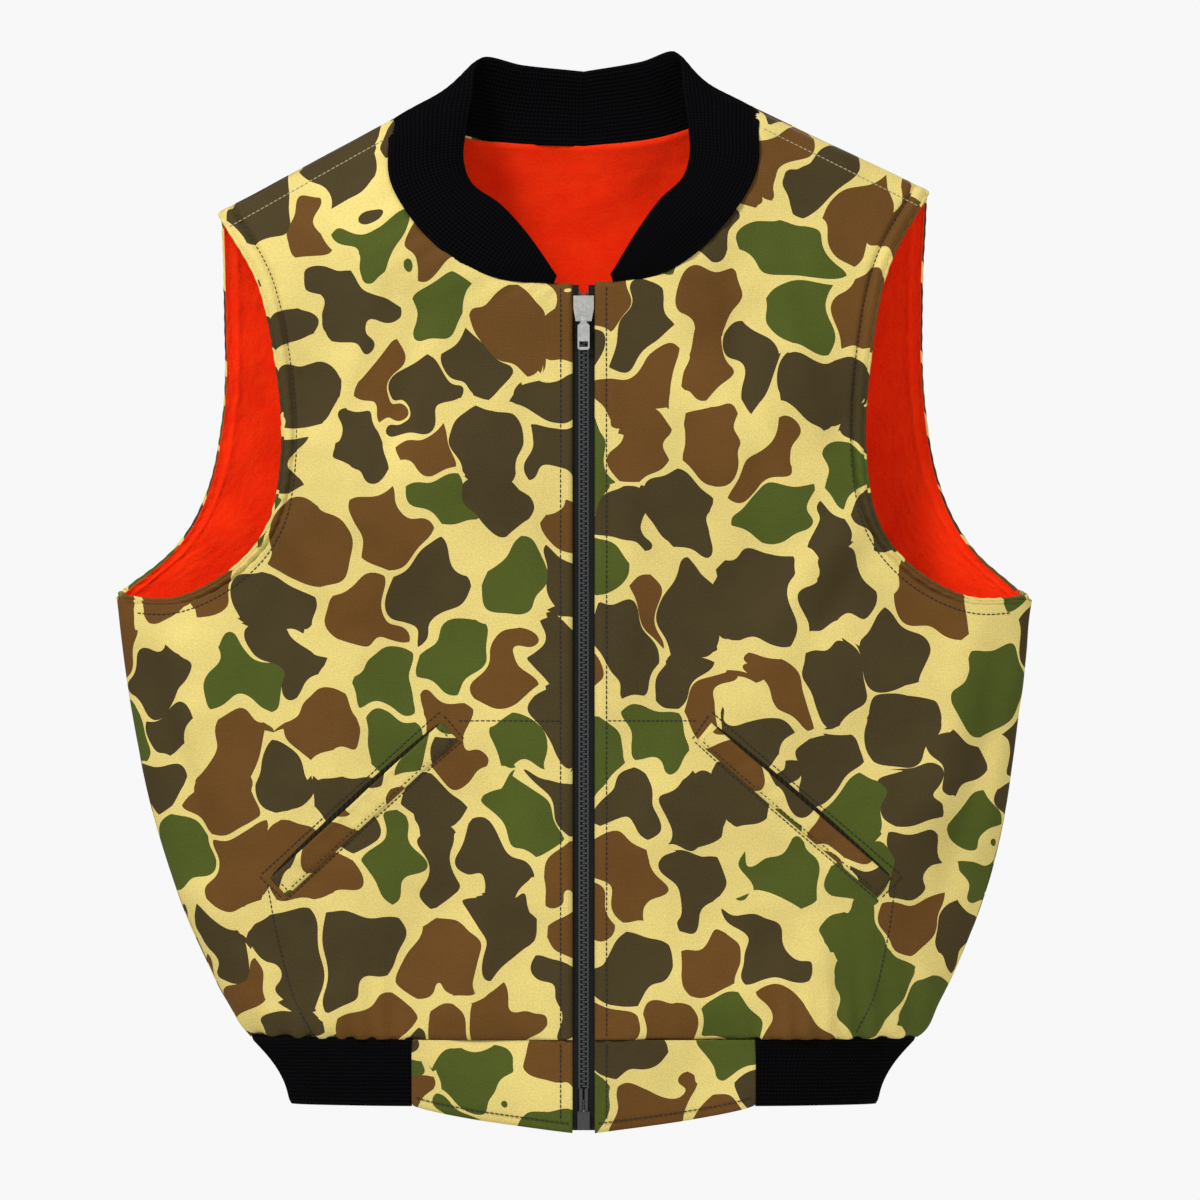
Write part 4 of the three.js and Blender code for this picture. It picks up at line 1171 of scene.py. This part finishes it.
def make_stitching(surfaces, band_surfaces):
    armhole, back_armhole = (
        at_shares(smooth(a), np.linspace(0, 1, 200)) for a in (ARMHOLE_FRONT, ARMHOLE_BACK)
    )
    for side in (1, -1):
        word = SIDE_NAME[side]
        flip = np.array([side, 1.0])
        beside_zip = ZIP_SLOT + 7.6
        lines = [
            inside_line(armhole, 8.3)[4:-8],
            join([(beside_zip, FRONT_NECK_Z - 3), (beside_zip, WAIST_Z + 1)]),
            join([(ZIP_SLOT + 8, -381), (78, -381)]),
            smooth([(203, -487), (198, -519), (188, -559), (176, -584)]),
        ]
        corners = [on_welt(u, v, 1) for u, v in ((-0.03, -0.36), (1.03, -0.36), (1.02, 1.1), (-0.02, 1.1))]
        lines += [join([a, b]) for a, b in zip(corners, corners[1:] + corners[:1])]
        piece = stitch_piece(f"topstitching_{word}", surfaces[side], [line * flip for line in lines], THREAD)
        blend_front(piece)
        inner = [on_welt(u, v, 1) for u, v in ((0.02, 0.2), (0.02, 0.86), (0.98, 0.86), (0.98, 0.2))]
        lines = [join([a, b]) * flip for a, b in zip(inner, inner[1:])]
        piece = stitch_piece(f"welt_stitching_{word}", surfaces[side], lines, THREAD, lift=1.5)
        blend_front(piece)
        u = np.linspace(0.02, 0.985, 40)
        hem = np.stack([ZIP_SLOT + (RIB_FRONT_X - ZIP_SLOT) * u, BAND_TOP - waistband_height(u) + 6], axis=1)
        lines = [hem * flip, join([(beside_zip, BAND_TOP - 2), (beside_zip, BAND_TOP - 52)]) * flip]
        piece = stitch_piece(f"waistband_stitching_{word}", band_surfaces[side], lines, THREAD)
        blend_front(piece)
        seam = join([(NECK_POINT[0] + 7, NECK_POINT[1] - 15), (SHOULDER_TIP[0] - 4, SHOULDER_TIP[1] - 12)])
        piece = stitch_piece(f"shoulder_stitching_{word}", surfaces[side], [seam * flip], PALE_THREAD)
        blend_front(piece)
        back = [inside_line(back_armhole, 8.3)[4:-8] * flip]
        piece = stitch_piece(f"back_topstitching_{word}", surfaces[0], back, THREAD)
        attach(piece, "back")


# ---- zip ----

CHAIN_Y = -FRONT_DEPTH + 1.7
TOOTH_PITCH = 3.2
BOX_TOP = -633.4
SLIDER_TOP = -106.5
SLIDER_LENGTH = 16.5


def finish_piece(piece, name, material, bevel=0.0, segments=2):
    """Bevels the piece's sharp edges, shades it and leaves its place in its mesh."""
    bpy.ops.object.select_all(action="DESELECT")
    piece.select_set(True)
    bpy.context.view_layer.objects.active = piece
    bpy.ops.object.transform_apply(location=True, rotation=True, scale=True)
    if bevel:
        rounding = piece.modifiers.new("bevel", "BEVEL")
        rounding.width = bevel * MM
        rounding.segments = segments
        rounding.limit_method = "ANGLE"
        bpy.ops.object.modifier_apply(modifier="bevel")
    bpy.ops.object.shade_smooth_by_angle(angle=math.radians(35))
    piece.name = name
    piece.data.materials.clear()
    piece.data.materials.append(material)
    return piece


def box(low, high):
    """A box primitive between two corners in mm."""
    bpy.ops.object.select_all(action="DESELECT")
    centre = [(a + b) / 2 * MM for a, b in zip(low, high)]
    bpy.ops.mesh.primitive_cube_add(size=1, location=centre)
    made = bpy.context.object
    made.scale = [(b - a) * MM for a, b in zip(low, high)]
    bpy.ops.object.transform_apply(location=True, rotation=True, scale=True)
    return made


def joined(pieces):
    bpy.ops.object.select_all(action="DESELECT")
    for piece in pieces:
        piece.select_set(True)
    bpy.context.view_layer.objects.active = pieces[0]
    bpy.ops.object.join()
    return bpy.context.object


def copies(model, places):
    """One mesh holding a copy of a small model at each place in mm."""
    co = np.array([v.co for v in model.data.vertices])
    faces = [list(p.vertices) for p in model.data.polygons]
    points = np.vstack([co + np.array(p) * MM for p in places])
    every = [[i + k * len(co) for i in face] for k in range(len(places)) for face in faces]
    bpy.data.objects.remove(model)
    return make_mesh("copies", points / MM, every)


def make_zip():
    for side in (1, -1):
        word = SIDE_NAME[side]
        body = FRONT_BODY[side]
        low, high = sorted((3.1 * side, 14.5 * side))
        tape = box((low, CHAIN_Y - 0.4, BOX_TOP + 0.3), (high, CHAIN_Y + 0.4, -99.5))
        end_low, end_high = sorted((0.02 * side, 14.5 * side))
        end = box((end_low, CHAIN_Y - 0.4, BOX_TOP - 12), (end_high, CHAIN_Y + 0.4, BOX_TOP + 0.3))
        web_low, web_high = sorted((0.02 * side, 3.2 * side))
        web = box((web_low, CHAIN_Y + 0.1, BOX_TOP + 0.4), (web_high, CHAIN_Y + 0.5, -108.5))
        tape = joined([tape, end, web])
        finish_piece(tape, f"tape_{word}", TAPE, 0.15)
        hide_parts(f"zip_tape_{word}")
        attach(tape, body)
        cord_low, cord_high = sorted((2.1 * side, 3.3 * side))
        bead = box((cord_low, CHAIN_Y - 0.75, BOX_TOP + 15), (cord_high, CHAIN_Y + 0.75, -104.5))
        tooth = box((-0.95, CHAIN_Y - 1.2, -0.62), (2.7, CHAIN_Y + 1.2, 0.62))
        bpy.ops.object.mode_set(mode="EDIT")
        bpy.ops.mesh.select_all(action="SELECT")
        bpy.ops.mesh.bevel(offset=0.16 * MM, segments=1, affect="EDGES")
        bpy.ops.object.mode_set(mode="OBJECT")
        for v in tooth.data.vertices:  # a waist behind the head
            if -0.3 * MM < v.co.x < 0.3 * MM:
                v.co.z *= 0.6
        for v in tooth.data.vertices:
            v.co.x *= side
        shift = TOOTH_PITCH / 2 if side < 0 else 0
        count = int((SLIDER_TOP + 1 - (BOX_TOP + 16)) / TOOTH_PITCH)
        places = [(0, 0, BOX_TOP + 16.5 + shift + k * TOOTH_PITCH) for k in range(count)]
        row = joined([copies(tooth, places), bead])
        finish_piece(row, f"teeth_{word}", ACETAL)
        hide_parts(f"tooth_row_{word}")
        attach(row, body)


make_zip()
panels = make_body()
surfaces = {side: Surface(panel.points, panel.facing) for side, panel in panels.items()}
make_collar()
band_surfaces = make_waist()
make_edges(panels)
make_pockets(surfaces)
make_stitching(surfaces, band_surfaces)


def dress_nodes():
    """The CAD nodes whose shape is right keep it and get their finish."""
    finishes = {"acetal": ACETAL, "nickel": NICKEL, "tape": TAPE, "pocketing": POCKETING}
    slots = {s["node"]: s["material_slot"] for s in frame["record"]["subparts"]}
    for name, node in frame["nodes"].items():
        if slots.get(name) in finishes and hasattr(node, "data"):
            node.data.materials.clear()
            node.data.materials.append(finishes[slots[name]])


dress_nodes()
